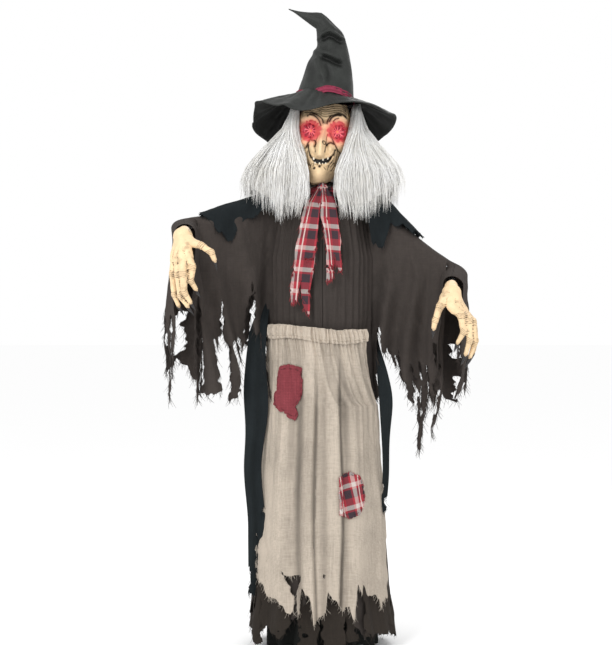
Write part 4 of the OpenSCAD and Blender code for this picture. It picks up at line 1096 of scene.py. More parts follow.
def cape_half(side, reach, edge_front, edge_back, seed):
    """One half of the black shoulder cape: open in front, over the shoulder, torn into points below.

    edge_front and edge_back give the lower edge as (outward x, z) in millimetres.
    """
    sign = SIGN[side]
    pin, elbow, _ = arm_points(side)
    over = pin.lerp(elbow, reach) + Vector((0, 0, 0.032))
    crest = spline([(0, 0, COLLAR + 0.016), (sign * 0.060, 0, COLLAR + 0.010),
                    (sign * 0.110, 0, COLLAR + 0.006),
                    (sign * 0.165, -0.002, pin.z + 0.055),
                    pin.lerp(elbow, reach * 0.45) + Vector((0, 0, 0.048)),
                    over], 160)
    along = run(crest)
    width = float(along[-1])
    made = []
    for layer, facing, edge in (("front", -1, edge_front), ("back", 1, edge_back)):
        length = 0.26
        s, t = np.meshgrid(np.linspace(0, width, int(width / 0.0028)), np.linspace(0, length, 90))
        px, py, pz = (np.interp(s, along, crest[:, i]) for i in range(3))
        neck = 1 - ease(s, 0.09, 0.20)
        depth = 0.036 + 0.062 * neck
        turn = np.clip(t / (depth * 1.4), 0, 1) * math.pi / 2
        below = np.maximum(t - depth * 1.4, 0)
        lower = (0.03 + 0.015 * neck) * (1 - np.cos(turn)) + below * 0.97
        fold = 0.006 * np.sin(s * 48 + 3 * noise(s * 8, t * 6, seed, 95)) * ease(t, 0.02, 0.1)
        crumple = 0.003 * fbm(s * 20, t * 20, seed, 96)
        y = py + facing * (depth * np.sin(turn) + 0.02 * below + fold + crumple)
        points = np.stack([px + 0.006 * fbm(s * 12, t * 12, seed, 97) * ease(t, 0.03, 0.1), y,
                           pz - lower + crumple * 0.5], axis=-1)
        foot = MM * stops_at(np.abs(points[..., 0]) * 1000, edge)
        torn = 0.010 * fbm(s * 28, facing * 3.0, seed, 98, 3) + 0.005 * fbm(s * 90, t * 40, seed, 99, 2)
        field = points[..., 2] - foot + torn
        opening = 0.092 if facing < 0 else -1.0
        field = np.minimum(field, np.abs(points[..., 0]) - opening + 0.004 * fbm(t * 30, 0.0, seed, 94))
        field = np.minimum(field, width - 0.004 - s + 0.006 * fbm(t * 40, 1.0, seed, 93))
        cloth, loose, area = cloth_piece(f"cape_{side}_{layer}", points, field, M["cape"], 0.3, 0.018,
                                         seed + facing)
        flat_sheet(cloth, loose, area, (width, length))
        made += [cloth, loose]
    follow_arm(made, side, "cape")


# ------------------------------------------------------------------ scarf


def plaid_grid(name, points, u, v, thickness):
    """A plaid piece over a grid of points; u and v say where each lies in the weave."""
    rows, cols = u.shape
    obj = add_mesh(name, points.reshape(-1, 3), grid_faces(rows, cols), M["plaid"])
    set_shade(obj, "cloth_u", u.ravel())
    set_shade(obj, "cloth_v", v.ravel())
    return thicken(obj, thickness)


def scarf():
    """Plaid scarf: a bunched loop round the neck, a knot and two torn tails."""
    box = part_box("scarf")
    mid = (box[0].z + box[1].z) / 2
    rows, cols = 40, 220
    a, b = np.meshgrid(np.linspace(0, 2 * math.pi, rows), np.linspace(0, 2 * math.pi, cols), indexing="ij")
    tube = 0.0125 * (1 + 0.16 * np.sin(5 * a + 3 * b) + 0.12 * fbm(np.cos(b) * 4, np.sin(b) * 4, a, 101))
    ring = 0.052 + tube * np.cos(a)
    points = np.stack([ring * np.sin(b), -ring * np.cos(b),
                       mid + tube * 0.95 * np.sin(a) - 0.003 * np.cos(b)], -1)
    loop = plaid_grid("scarf_loop", points, 0.014 * a, 0.06 * b, 0.001)
    knot_mid = np.array([0.001, -0.073, mid])
    lat, lon = np.meshgrid(np.linspace(0.06, math.pi - 0.06, 26), np.linspace(0, 2 * math.pi, 48),
                           indexing="ij")
    swell = 1 + 0.14 * np.sin(4 * lon + 3 * lat) + 0.1 * fbm(np.cos(lon) * 2, np.sin(lon) * 2, lat * 2, 103)
    points = np.stack([knot_mid[0] + 0.0150 * swell * np.sin(lat) * np.cos(lon),
                       knot_mid[1] + 0.012 * swell * np.sin(lat) * np.sin(lon),
                       knot_mid[2] + 0.0165 * swell * np.cos(lat)], -1)
    knot = plaid_grid("scarf_knot", points, 0.02 * lon, 0.03 * lat, 0.001)
    settle([loop, knot], "stand", "scarf")
    # Each tail: [height, low x, high x] from the knot down
    tails = [
        ("scarf_tail_long", [(mid + 0.004, -0.016, 0.002), (1.245, -0.043, -0.003), (1.20, -0.056, -0.008),
                             (1.12, -0.073, -0.018), (1.04, -0.084, -0.028), (0.97, -0.090, -0.034),
                             (0.905, -0.092, -0.036)], 111),
        ("scarf_tail_short", [(mid + 0.004, 0.000, 0.018), (1.245, -0.002, 0.040), (1.20, -0.003, 0.045),
                              (1.15, 0.006, 0.048), (1.10, 0.012, 0.050), (1.01, 0.016, 0.060)], 113)]
    for name, stops, seed in tails:
        z = np.array([p[0] for p in stops])[::-1]
        low, high = np.array([p[1] for p in stops])[::-1], np.array([p[2] for p in stops])[::-1]
        length = stops[0][0] - stops[-1][0]
        width = 0.066
        s, t = np.meshgrid(np.linspace(0, 1, 64), np.linspace(0, length, 200))
        height = stops[0][0] - t
        x = np.interp(height, z, low) * (1 - s) + np.interp(height, z, high) * s
        x = x + 0.003 * noise(t * 14, seed) + 0.002 * fbm(s * 3, t * 20, seed)
        squeeze = 1 - ease(t, 0, 0.09)
        depth = np.interp(np.minimum(height, 1.22), DRESS[0], DRESS[2])
        rest = -depth - 0.020 - 0.003 * ease(t, 0.05, 0.15)
        y = rest * (1 - squeeze) + (knot_mid[1] - 0.010) * squeeze - 0.004 * squeeze * (1 - squeeze) * 4
        y = y - 0.004 * np.sin(s * 9 + seed) * (0.35 + squeeze) - 0.003 * np.sin(s * 4 + t * 16 + seed)
        slit_at = length * 0.66
        notch = np.abs(s - 0.52 - 0.05 * np.sin(t * 40)) * width - 0.14 * np.maximum(t - slit_at, -0.1)
        uneven = 0.16 * (s < 0.5 if seed == 111 else s > 0.55)
        end = length * (0.985 - uneven) - t + 0.020 * fbm(s * 9, 0.2, seed, 5)
        edge_wear = np.minimum(s, 1 - s) * width + 0.0005 + 0.003 * fbm(t * 70, s * 2, seed, 6)
        worn = 0.01 * (1.1 - 0.75 * ease(t, length * 0.6, length) - fbm(s * 3, t * 45, seed, 7))
        field = np.minimum(np.minimum(notch, end), np.minimum(edge_wear, worn))
        grid = np.stack([x, y, height], -1)

        def paint(cloth, verts):
            """The plaid runs along the tail."""
            across = (verts[:, 0] - np.interp(verts[:, 2], z, low)) / np.interp(verts[:, 2], z, high - low)
            set_shade(cloth, "cloth_u", (0.62 + 0.9 * across) * PLAID_PITCH)
            set_shade(cloth, "cloth_v", verts[:, 2] + 0.004 * across)

        cloth, loose, area = cloth_piece(name, grid, field, M["plaid"], 0.45, 0.018, seed, paint=paint)
        flat_sheet(cloth, loose, area, (width, length))
        settle([cloth, loose], "stand", "scarf_tails")

# ------------------------------------------------------------------ hat


def ring_curve(stops, n):
    """n smooth rings through stops of [left x, left z, right x, right z, half depth] in millimetres."""
    stops = np.array(stops, float)
    middle = (stops[:, 0:2] + stops[:, 2:4]) / 2
    along = np.concatenate([[0], np.cumsum(np.linalg.norm(np.diff(middle, axis=0), axis=1) + 4)])
    columns = [spline(np.stack([along, stops[:, i], 0 * along], 1), 4 * n) for i in range(5)]
    at = np.linspace(0, along[-1], n)
    return 0.001 * np.stack([np.interp(at, c[:, 0], c[:, 1]) for c in columns], 1)


def round_hat(stops, a, n):
    """Heights in metres round the hat at angles a, from smoothed stops of (degrees, millimetres)."""
    curve = spline([(d, h, 0) for d, h in stops], n)
    return MM * np.interp(np.degrees(a), curve[:, 0], curve[:, 1])


def crown():
    """The hat's crown: a tall cone of stiff cloth, bent over sharply near its tip, with broad creases."""
    base, top = HAT_LOW * 1000, HAT_TOP * 1000
    body = [[-73, base + 4, 92, base - 6, 94], [-69, base + 19, 90, base + 5, 91],
            [-57, base + 54, 88, base + 49, 80], [-42, base + 99, 81, base + 98, 66],
            [-27, base + 123, 76, base + 127, 56], [-13, base + 149, 67, base + 164, 45],
            [-13, base + 172, 58, base + 188, 38], [-14, top - 65, 40, top - 50, 31],
            [-15, top - 61, 16, top - 26, 25], [-15, top - 58, -1, top - 12.5, 21]]
    tip = [[-15, top - 58, -1, top - 12.5, 21], [-32, top - 46, -14, top - 11, 17],
           [-52, top - 31, -33, top - 11, 12], [-75, top - 14, -62, top - 8, 6],
           [-94, top - 1, -92, top - 1.5, 1.2]]
    rings = np.vstack([ring_curve(body, 130), ring_curve(tip, 36)[1:]])
    cols = 144
    A = np.linspace(0, 2 * math.pi, cols, endpoint=False)[None, :]
    left, right, deep = rings[:, None, 0:2], rings[:, None, 2:4], rings[:, None, 4]
    middle, reach = (left + right) / 2, (right - left) / 2
    share = np.linspace(0, 1, len(rings))[:, None]
    ripple = 0.035 * np.sin(3 * A + 4 * share + 1) + 0.02 * np.sin(5 * A - 6 * share)
    wave = 1 + ripple * ease(share, 0.1, 0.3)
    x = middle[..., 0] + reach[..., 0] * np.cos(A) * wave
    z = middle[..., 1] + reach[..., 1] * np.cos(A)
    up = z - HAT_LOW
    # Creases: a roof-shaped ridge, a ledge and a soft upright fold; [path in x and rise, height, width]
    creases = [([(-0.010, 0.166), (0.018, 0.188), (0.060, 0.166)], 0.005, 0.005),
               ([(0.004, 0.168), (0.024, 0.173), (0.052, 0.158)], -0.009, 0.008),
               ([(-0.022, 0.134), (0.006, 0.124), (0.046, 0.106)], 0.007, 0.009),
               ([(0.006, 0.108), (0.030, 0.098), (0.052, 0.090)], -0.008, 0.008),
               ([(-0.014, 0.104), (-0.004, 0.070), (0.010, 0.040)], 0.006, 0.010),
               ([(0.014, 0.086), (0.020, 0.062), (0.016, 0.040)], -0.005, 0.008),
               ([(-0.034, 0.100), (-0.026, 0.070), (-0.030, 0.046)], -0.003, 0.010)]
    front, back = ease(-np.sin(A), 0.05, 0.45), ease(np.sin(A), 0.05, 0.45)
    grow = 0.0035 * fbm(np.cos(A) * 1.6, np.sin(A) * 1.6, share * 5, 122, 3) * ease(share, 0.05, 0.2)
    grow = grow * (1 - ease(share, 0.75, 1))
    crease_shade = np.zeros_like(grow)
    for path, height, width in creases:
        turned = [(0.016 - px, rise - 0.02) for px, rise in path]
        push = height * (groove(x, up, path, width) * front + groove(x, up, turned, width * 1.1) * back)
        grow = grow + 1.5 * push
        crease_shade = np.maximum(crease_shade, -push / 0.009)
    seam = 0.0016 * bump(np.angle(np.exp(1j * (A - 2.0))), 0.035)
    y = -0.004 + (deep * wave + grow + seam) * np.sin(A)
    x = x + grow * 0.5 * np.cos(A)
    points = np.stack([x, y, z], -1).reshape(-1, 3)
    faces = grid_faces(len(rings), cols, True)
    end = len(points)
    points = np.vstack([points, points[-cols:].mean(0)])
    faces += [(end - cols + j, end - cols + (j + 1) % cols, end) for j in range(cols)]
    obj = add_mesh("hat_crown_cloth", points, faces, M["hat"])
    # Painted shade in the crown's crease hollows
    set_shade(obj, "fold", np.append(np.clip(crease_shade, 0, 0.9).ravel(), 0))
    thicken(obj, 0.002, -1)
    settle([obj], "head", "hat_crown")


def brim():
    """The wide floppy brim: a flap over the brow, deep sagging sides and back, and a dark sheet under it, painted
    shade for its underside.
    """
    low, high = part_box("hat_brim")
    mid_x, mid_y = (low.x + high.x) / 2, (low.y + high.y) / 2
    out_x, out_y = (high.x - low.x) / 2, (high.y - low.y) / 2
    rows, cols = 48, 288
    t, a = np.meshgrid(np.linspace(0, 1, rows), np.linspace(-math.pi, math.pi, cols, endpoint=False),
                       indexing="ij")
    # How far the edge hangs below the crown's foot, in millimetres, by degrees from +X; -90 is the front
    hang_at = [(-180, 68), (-156, 22), (-138, 34), (-116, 56), (-100, 55), (-80, 38), (-66, 35), (-45, 42),
               (-28, 56),
               (-10, 55), (8, 82), (45, 124), (90, 112), (135, 126), (165, 104), (180, 68)]
    drop = round_hat(hang_at, a, 400)
    front = ease(-np.sin(a), 0.35, 0.85)
    bend = 1.55 - 0.5 * front
    pucker = 0.0018 * np.sin(a * 30 + 3 * noise(np.cos(a) * 5, np.sin(a) * 5, 0, 132)) * t * (1 - t) * 3
    fold = groove(np.degrees(a) / 90, t, [(-1.30, 0.05), (-1.34, 0.5), (-1.37, 1.0)], 0.055)
    z = HAT_LOW + 0.004 - 0.082 * np.cos(a) * math.sin(math.radians(5)) * (1 - t)
    z = z + 0.012 * bump(a + 2.1, 0.42) * (1 - t) ** 1.5
    z = z - drop * t**bend + pucker + 0.010 * fold * t - 0.004 * np.sin(math.pi * t) * (1 - front)
    shrink = 1 - 0.13 * ease(drop, 0.075, 0.13)
    corner = 0.045 * bump(a + 2.72, 0.10) + 0.030 * bump(a - 3.02, 0.14) + 0.02 * bump(a + 0.10, 0.12)
    edge = shrink * (0.985 - 0.008 * np.sin(4 * a + 1) - 0.008 * np.sin(7 * a) + corner)
    rx = 0.080 + (out_x * 0.985 * edge - 0.080) * t
    ry = 0.090 + (out_y * 0.975 * edge - 0.090) * t
    crumple = 0.0022 * fbm(rx * np.cos(a) * 22, ry * np.sin(a) * 22, 0.5, 133, 3) * ease(t, 0, 0.2)
    points = np.stack([mid_x + rx * np.cos(a), mid_y + ry * np.sin(a), z + crumple], -1)
    obj = add_mesh("hat_brim_cloth", points.reshape(-1, 3), grid_faces(rows, cols, True), M["hat"])
    thicken(obj, 0.002)
    # A dark sheet just under the brim: painted shade on the brim's underside
    inner = points[1:-1].copy()
    inner[..., 2] -= 0.0022
    underside_shade = add_mesh("hat_brim_underside_shade", inner.reshape(-1, 3), grid_faces(rows - 2, cols, True), M["underside_shade"])
    thicken(underside_shade, 0.001)
    rim = np.vstack([points[-1], points[-1][:1]])
    hem = tubes("hat_brim_hem", [rim], [[0.0019] * len(rim)], M["hat"], 8)
    settle([obj, underside_shade, hem], "head", "hat_brim")


def band():
    """The plum ribbon round the crown: slack and wrinkled, high in front and tucked in at the side."""
    rows, cols = 16, 240
    v, a = np.meshgrid(np.linspace(0, 1, rows), np.linspace(-math.pi, math.pi, cols, endpoint=False),
                       indexing="ij")
    # The ribbon's top edge above the crown's foot, in millimetres, by degrees from +X
    top_at = [(-180, 20), (-150, 21), (-122, 12), (-100, 22), (-82, 27), (-45, 14), (-10, 5), (45, 10),
              (90, 18), (180, 20)]
    top = round_hat(top_at, a, 200)
    slack = noise(np.cos(a) * 5, np.sin(a) * 5, v, 141)
    wrinkle = 0.0014 * np.sin(v * 15 + 2.5 * slack) + 0.0008 * np.sin(a * 23)
    rx = 0.0845 - 0.004 * v + wrinkle
    ry = 0.0950 - 0.005 * v + wrinkle
    z = HAT_LOW + top - 0.019 * (1 - v) + 0.001 * np.sin(5 * a)
    points = np.stack([0.0085 + rx * np.cos(a), -0.004 + ry * np.sin(a), z], -1)
    obj = add_mesh("hat_band_ribbon", points.reshape(-1, 3), grid_faces(rows, cols, True), M["band"])
    thicken(obj, 0.001)
    settle([obj], "head", "hat_band")


# ------------------------------------------------------------------ wig

# The wig's fall in millimetres: [outward x, y, z] from root to end, by place from a front inner edge
# (0) round the side to the middle of the back (1)
FALL = {
    0.00: [(84, -46, 1522), (81, -76, 1444), (66, -92, 1380), (48, -103, 1325), (47, -112, 1265),
           (60, -116, 1206)],
    0.25: [(87, -36, 1522), (93, -62, 1448), (108, -84, 1385), (121, -96, 1330), (127, -104, 1262),
           (129, -106, 1190)],
    0.45: [(84, -15, 1522), (107, -28, 1457), (154, -40, 1405), (204, -46, 1350), (221, -48, 1312),
           (223, -46, 1272)],
    0.62: [(82, 20, 1522), (98, 35, 1450), (135, 55, 1385), (170, 72, 1320), (188, 84, 1262),
           (190, 90, 1215)],
    0.80: [(55, 62, 1522), (62, 85, 1450), (82, 104, 1380), (105, 118, 1310), (115, 125, 1240),
           (118, 126, 1180)],
    1.00: [(0, 84, 1522), (0, 102, 1450), (0, 118, 1380), (0, 128, 1310), (0, 132, 1240), (0, 132, 1172)],
}


def fall_point(place, share):
    """Where the wig hangs, as x outwards, y and z in metres.

    place runs from 0 at a front inner edge to 1 at the back's middle, and share from root to end.
    """
    columns = sorted(FALL)
    levels = np.linspace(0, 1, 6)
    result = []
    for axis in range(3):
        by_column = np.stack([np.interp(share, levels, [p[axis] for p in FALL[c]]) for c in columns], 0)
        k = np.clip(np.searchsorted(columns, place, side="right") - 1, 0, len(columns) - 2)
        low, high = np.array(columns)[k], np.array(columns)[k + 1]
        t = (place - low) / (high - low)
        t = t * t * (3 - 2 * t) * 0.5 + t * 0.5
        flat = np.arange(by_column.shape[1])
        result.append(by_column[k, flat] * (1 - t) + by_column[k + 1, flat] * t)
    return np.array(result) * 0.001


def wig():
    """A long silver wig: fine locks that frame the face and spread over the shoulders, on a backing."""
    rng = random.Random(151)
    rows, cols = 44, 150
    places = np.concatenate([np.linspace(0.02, 1, cols), np.linspace(1, 0.02, cols)[1:]])
    signs = np.concatenate([-np.ones(cols), np.ones(cols - 1)])
    shell = []
    for i in range(rows):
        share = i / (rows - 1) * 0.86
        x, y, z = fall_point(places, np.full(places.shape, share))
        out = np.stack([x, y], 0) / np.maximum(np.hypot(x, y), 1e-6)
        inset = 0.007 + 0.003 * np.sin(places * 60 + 5 * noise(places * 9, share * 6, 0, 152))
        px = signs * (x - inset * out[0]) + LEAN * np.maximum(z - WIG_LEAN_AT, 0)
        shell.append(np.stack([px, y - inset * out[1], z], 1))
    shell = np.array(shell)
    back = add_mesh("wig_backing", shell.reshape(-1, 3), grid_faces(rows, len(places)), M["wig"])
    # The backing is painted darker: painted shade behind the locks
    set_shade(back, "shade", np.full(len(back.data.vertices), 0.75))
    thicken(back, 0.002)
    lines, radii, depths = [], [], []
    points_each = 15
    share = np.linspace(0, 1, points_each)
    locks = 360
    for lock in range(locks):
        place = (lock // 2 + rng.random()) / (locks / 2)
        place = place**1.35
        side = -1 if lock % 2 else 1
        wander = rng.uniform(-0.06, 0.06)
        wave, phase, turns = rng.uniform(0.002, 0.008), rng.uniform(0, 6.3), rng.uniform(4, 10)
        thick = rng.uniform(0.005, 0.013)
        depth = rng.uniform(-0.006, 0.008)
        shorter = rng.choice([0.80, 0.88, 0.94, 1.0]) + rng.uniform(-0.03, 0.03)
        for _ in range(15 if place < 0.6 else 11):
            spin, fat = rng.uniform(0, 2 * math.pi), thick * math.sqrt(rng.random())
            reach = shorter * rng.uniform(0.86, 1.03)
            t = share * reach
            across = np.clip(place + wander * t + rng.uniform(-0.01, 0.01) * t, 0, 1)
            x, y, z = fall_point(across, np.clip(t, 0, 1))
            z = z - 0.33 * np.maximum(t - 1, 0)
            out = np.stack([x, y], 0) / np.maximum(np.hypot(x, y), 1e-6)
            swell = fat * (0.35 + 0.9 * np.sin(np.pi * np.clip(t, 0, 1)) + 0.5 * t**3)
            curl = wave * np.sin(phase + t * turns) * ease(t, 0.1, 0.5)
            fly = rng.uniform(-1, 1) * 0.011 * t**3
            push = depth + swell * math.sin(spin)
            slide = swell * math.cos(spin) + curl + fly
            px = side * (x + push * out[0] - slide * out[1]) + LEAN * np.maximum(z - WIG_LEAN_AT, 0)
            lines.append(np.stack([px, y + push * out[1] + slide * out[0], z], 1))
            radii.append(rng.uniform(0.0005, 0.0010) * (1 - 0.8 * share**4))
            # Locks that lie deeper are painted darker: painted shade
            depths.append(np.clip(0.14 - 24 * push, 0, 0.5))
    hair = tubes("wig_locks", lines, radii, M["wig"])
    set_shade(hair, "shade", np.repeat(np.concatenate(depths), 3))
    for piece in (back, hair):
        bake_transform(piece)
    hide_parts("hair")
    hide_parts("hair_ends")


# ------------------------------------------------------------------ mask

EYES = ((-0.033, 0.137), (0.0435, 0.134))


class Face:
    """The mask's grid of places, in metres over the face's foot, and what is done to each."""

    def __init__(self, x, z):
        self.x, self.z = x, z
        self.out, self.shift_z = np.zeros_like(x), np.zeros_like(x)
        # The dark and black values hold the mask's wash and paint together with painted shade, and the glow value
        # painted light from the lamps
        self.paint, self.ink_and_shade, self.glow, self.red = (np.zeros_like(x) for _ in range(4))

    def cut(self, path, depth, width=2.0, lip=0.5, dark=1.0, black=0.0):
        """A wrinkle with a raised lip below it, its groove painted dark, partly as the mask's wash and partly as
        painted shade; path and width in millimetres.
        """
        path = in_metres(path)
        width = width * MM
        g = groove(self.x, self.z, path, width)
        below = groove(self.x, self.z + 2.2 * width, path, 1.4 * width)
        self.out = self.out - depth * g + lip * depth * below
        self.paint = np.maximum(self.paint, dark * g)
        self.ink_and_shade = np.maximum(self.ink_and_shade, black * g)


def brow(f):
    """Heavy brow ridges that meet in a V over the nose, and lines that sag across the forehead."""
    x, z = f.x, f.z
    for ridge in ([(4, 152), (-8, 170), (-28, 180), (-52, 172)],
                  [(13, 150), (24, 168), (42, 178), (62, 168)]):
        f.out = f.out + 0.008 * groove(x, z, in_metres(ridge), 0.007)
    for path in ([(3, 156), (-2, 169), (-13, 178), (-30, 186)],
                 [(-3, 150), (-9, 166), (-22, 178), (-34, 181)],
                 [(13, 154), (18, 168), (26, 177), (39, 183), (52, 183), (66, 176)],
                 [(19, 160), (26, 171), (38, 178), (50, 178)], [(30, 163), (36, 169), (44, 172)],
                 [(-28, 190), (-33, 183), (-38, 178)]):
        f.cut(path, 0.0028, 2.3, 0.6, 1.0, 0.95)
    # Many wavy lines sag across the forehead above the V
    for k in range(6):
        low = 176.0 + 6.4 * k
        wave = [(-46, low + 15 - 1.2 * k), (-26, low + 12), (-10, low + 7), (0, low + 1.5), (11, low),
                (24, low + 2.5), (38, low + 6), (54, low + 5), (66, low - 3)]
        f.cut(wave, 0.0024, 1.9, 0.8, 1.0, 0.85)
    # Painted shadow of the hat brim over the upper forehead, with some uneven tone
    brim_shadow = ease(z, 0.168, 0.200) * 0.42
    f.paint = np.maximum(f.paint, brim_shadow + 0.10 * fbm(x * 60, z * 260, 1.0, 165))
    for path in ([(-8, 138), (-3, 134), (4, 139)], [(8, 140), (14, 136), (20, 139)]):
        f.cut(path, 0.0014, 1.2, 0.4, 0.5)


def sockets(f):
    """A broad pink star of skin folds round each lamp, with the lamps' red glow painted out over the cheeks as
    painted light.
    """
    x, z = f.x, f.z
    for ex, ez in EYES:
        d = np.hypot(x - ex, (z - ez) * 1.06)
        angle = np.arctan2(z - ez, x - ex)
        wobble = noise(np.cos(angle) * 2 + ex * 90, np.sin(angle) * 2, 0, 161)
        petal = 0.5 + 0.5 * np.cos(angle * 10 + 3 * wobble)
        reach = 0.0285 + 0.0045 * petal
        inside = ease(reach - d, -0.003, 0.003)
        f.out = f.out - 0.010 * ease(-d, -0.028, -0.017) + 0.0028 * petal * bump(d - 0.022, 0.006)
        f.red = np.maximum(f.red, inside * (0.80 + 0.20 * petal))
        # Painted light: the lamps' glow painted round each eye, fading towards the brow
        f.glow = np.maximum(f.glow, 0.85 * ease(-d, -0.052, -0.024) * (1 - 0.6 * ease(z, 0.160, 0.180)))
        f.paint = np.maximum(f.paint, 0.5 * (1 - petal) * bump(d - 0.0235, 0.005))
    for s, ex in ((-1, EYES[0][0]), (1, EYES[1][0])):
        lid = [(ex - s * 0.026, 0.113), (ex, 0.101), (ex + s * 0.022, 0.108)]
        f.out = f.out + 0.0040 * groove(x, z, lid, 0.007)


def nose(f):
    """A bridge that runs down to a long hooked tip, bent to the figure's right."""
    x, z = f.x, f.z
    middle_x = np.interp(z, [0.062, 0.080, 0.100, 0.125, 0.150], [-0.0075, -0.0060, -0.0045, 0.0010, 0.0055])
    nx = x - middle_x
    across = 0.0074 + 0.0026 * bump(z - 0.078, 0.016)
    bridge = ease(-z, -0.162, -0.080) * ease(z, 0.059, 0.071)
    f.out = f.out + 0.043 * bump(nx, across) * bridge
    f.shift_z = f.shift_z - 0.005 * bump(nx, 0.010) * bump(z - 0.076, 0.013)
    for path in ([(-10, 127), (-12, 117), (-17, 106), (-19, 92), (-17, 78)],
                 [(14, 126), (11, 114), (10, 101), (8, 90), (5, 78)]):
        f.cut(path, 0.0035, 2.2, 0.1, 1.0, 0.5)


def nose_wings(f):
    """Two pale lobes between nose and mouth, with nostrils above them painted dark for their shade."""
    x, z = f.x, f.z
    for wx, wz in ((-0.0265, 0.0860), (0.0215, 0.0830)):
        f.out = f.out + 0.011 * bump(np.hypot((x - wx) * 1.3, (z - wz) * 0.75), 0.0085)
    # Painted shade: the nostrils are painted near black
    for path, black in (([(-27, 110), (-20, 108), (-17, 100), (-20, 92)], 0.9),
                        ([(12, 95), (16, 100), (23, 103), (31, 100)], 0.95)):
        f.cut(path, 0.0045, 3.8, 0.1, 1.0, black)
    bridge_wart = bump(np.hypot(x - 0.003, z - 0.1010), 0.0036)
    f.out = f.out + 0.0050 * bridge_wart
    f.paint = np.maximum(f.paint, 0.95 * bump(np.hypot(x - 0.003, z - 0.1010) - 0.0042, 0.0016))
    f.ink_and_shade = np.maximum(f.ink_and_shade, 0.7 * bump(np.hypot(x - 0.002, z - 0.1020), 0.0016))


def cheeks(f):
    """Ball cheeks under the eyes, and the deep folds that run from the nose round them."""
    x, z = f.x, f.z
    for cx, cz in ((-0.054, 0.104), (0.055, 0.094)):
        f.out = f.out + 0.011 * bump(np.hypot(x - cx, (z - cz) * 1.1), 0.016)
    for path in ([(-27, 123), (-33, 112), (-39, 101), (-44, 91)], [(22, 129), (27, 114), (36, 96), (43, 83)]):
        f.cut(path, 0.0050, 3.2, 0.2, 1.0, 0.85)
    for path in ([(-66, 90), (-56, 86), (-44, 91)], [(42, 82), (54, 78), (68, 86)]):
        f.cut(path, 0.0040, 3.0, 0.2, 0.9, 0.45)
    for s in (-1, 1):
        f.out = f.out - 0.005 * bump(np.hypot(x - s * 0.053, (z - 0.058) * 0.7), 0.013)
        for k in range(5):
            start = s * (41 + 5.2 * k)
            f.cut([(start, 82 - 4 * k), (start - s * 2, 62), (start - s * (9 + k), 38 + 3 * k)],
                0.0024, 1.9, 0.3, 0.8, 0.3)
        # Painted shade in the hollow beside each corner of the mouth
        f.paint = np.maximum(f.paint, 0.55 * bump(np.hypot(x - s * 0.060, (z - 0.066) * 0.55), 0.011))


def mouth(f):
    """An open crooked grin that climbs at both corners, painted black inside for the shade of the open mouth, with
    thin lips.
    """
    x, z = f.x, f.z
    middle = grin(x)
    gap = grin_half(x) - np.abs(z - middle)
    inside = ease(gap, -0.0006, 0.0008)
    lip = bump(gap + 0.0030, 0.0024) * ease(-np.abs(x - 0.001), -0.040, -0.030)
    f.out = f.out + 0.0036 * lip - 0.0035 * inside
    # Painted shade: the open mouth is painted black
    f.ink_and_shade = np.maximum(f.ink_and_shade, inside)
    # The deep folds at the mouth's corners are painted black: painted shade
    for path in ([(-37, 98), (-37, 88), (-34, 74), (-30, 63)], [(35, 84), (33, 78), (30, 70)]):
        f.cut(path, 0.0040, 2.9, 0.1, 1.0, 1.0)
    f.cut([(-26, 47), (-14, 41), (2, 39), (16, 42), (27, 50)], 0.0020, 1.5, 0.5, 0.55)


def chin(f):
    """A long chin, pushed forward to the figure's right, with short wrinkles and warts."""
    x, z = f.x, f.z
    f.out = f.out + 0.024 * bump(np.hypot(x + 0.010, (z - 0.018) * 0.9), 0.021)
    for path in ([(-23, 46), (-24, 38)], [(-30, 44), (-32, 36)], [(13, 29), (19, 43), (30, 57)],
                 [(22, 37), (32, 50)],
                 [(24, 28), (34, 42)], [(4, 35), (7, 30)], [(-12, 45), (-13, 41)], [(-2, 45), (-2, 40)]):
        f.cut(path, 0.0020, 1.9, 0.3, 0.9, 0.45)
    for wx, wz, size in ((-0.0205, 0.0325, 0.0030), (-0.0075, 0.0370, 0.0028), (0.036, 0.112, 0.0018)):
        wart = bump(np.hypot(x - wx, z - wz), size)
        f.out = f.out + 0.0036 * wart
        f.paint = np.maximum(f.paint, 0.95 * wart)
        f.ink_and_shade = np.maximum(f.ink_and_shade, 0.35 * wart)


def painted_jaw_shade(f):
    """Painted shade where the skin turns under, further up on the figure's left, and black painted shadow beyond
    the jaw on that side.
    """
    x, z = f.x, f.z
    right_edge = np.interp(z, [-0.004, 0.0015, 0.0147, 0.028, 0.054, 0.085],
                           [0.008, 0.020, 0.035, 0.046, 0.058, 0.080])
    left_edge = np.interp(z, [-0.004, 0.006, 0.026, 0.054], [-0.028, -0.040, -0.052, -0.066])
    under = np.maximum(ease(x - right_edge, -0.003, 0.004), ease(left_edge - x, -0.003, 0.004))
    f.paint = np.maximum(f.paint, under)
    f.ink_and_shade = np.maximum(f.ink_and_shade, 0.8 * ease(x - right_edge, 0.0, 0.005))


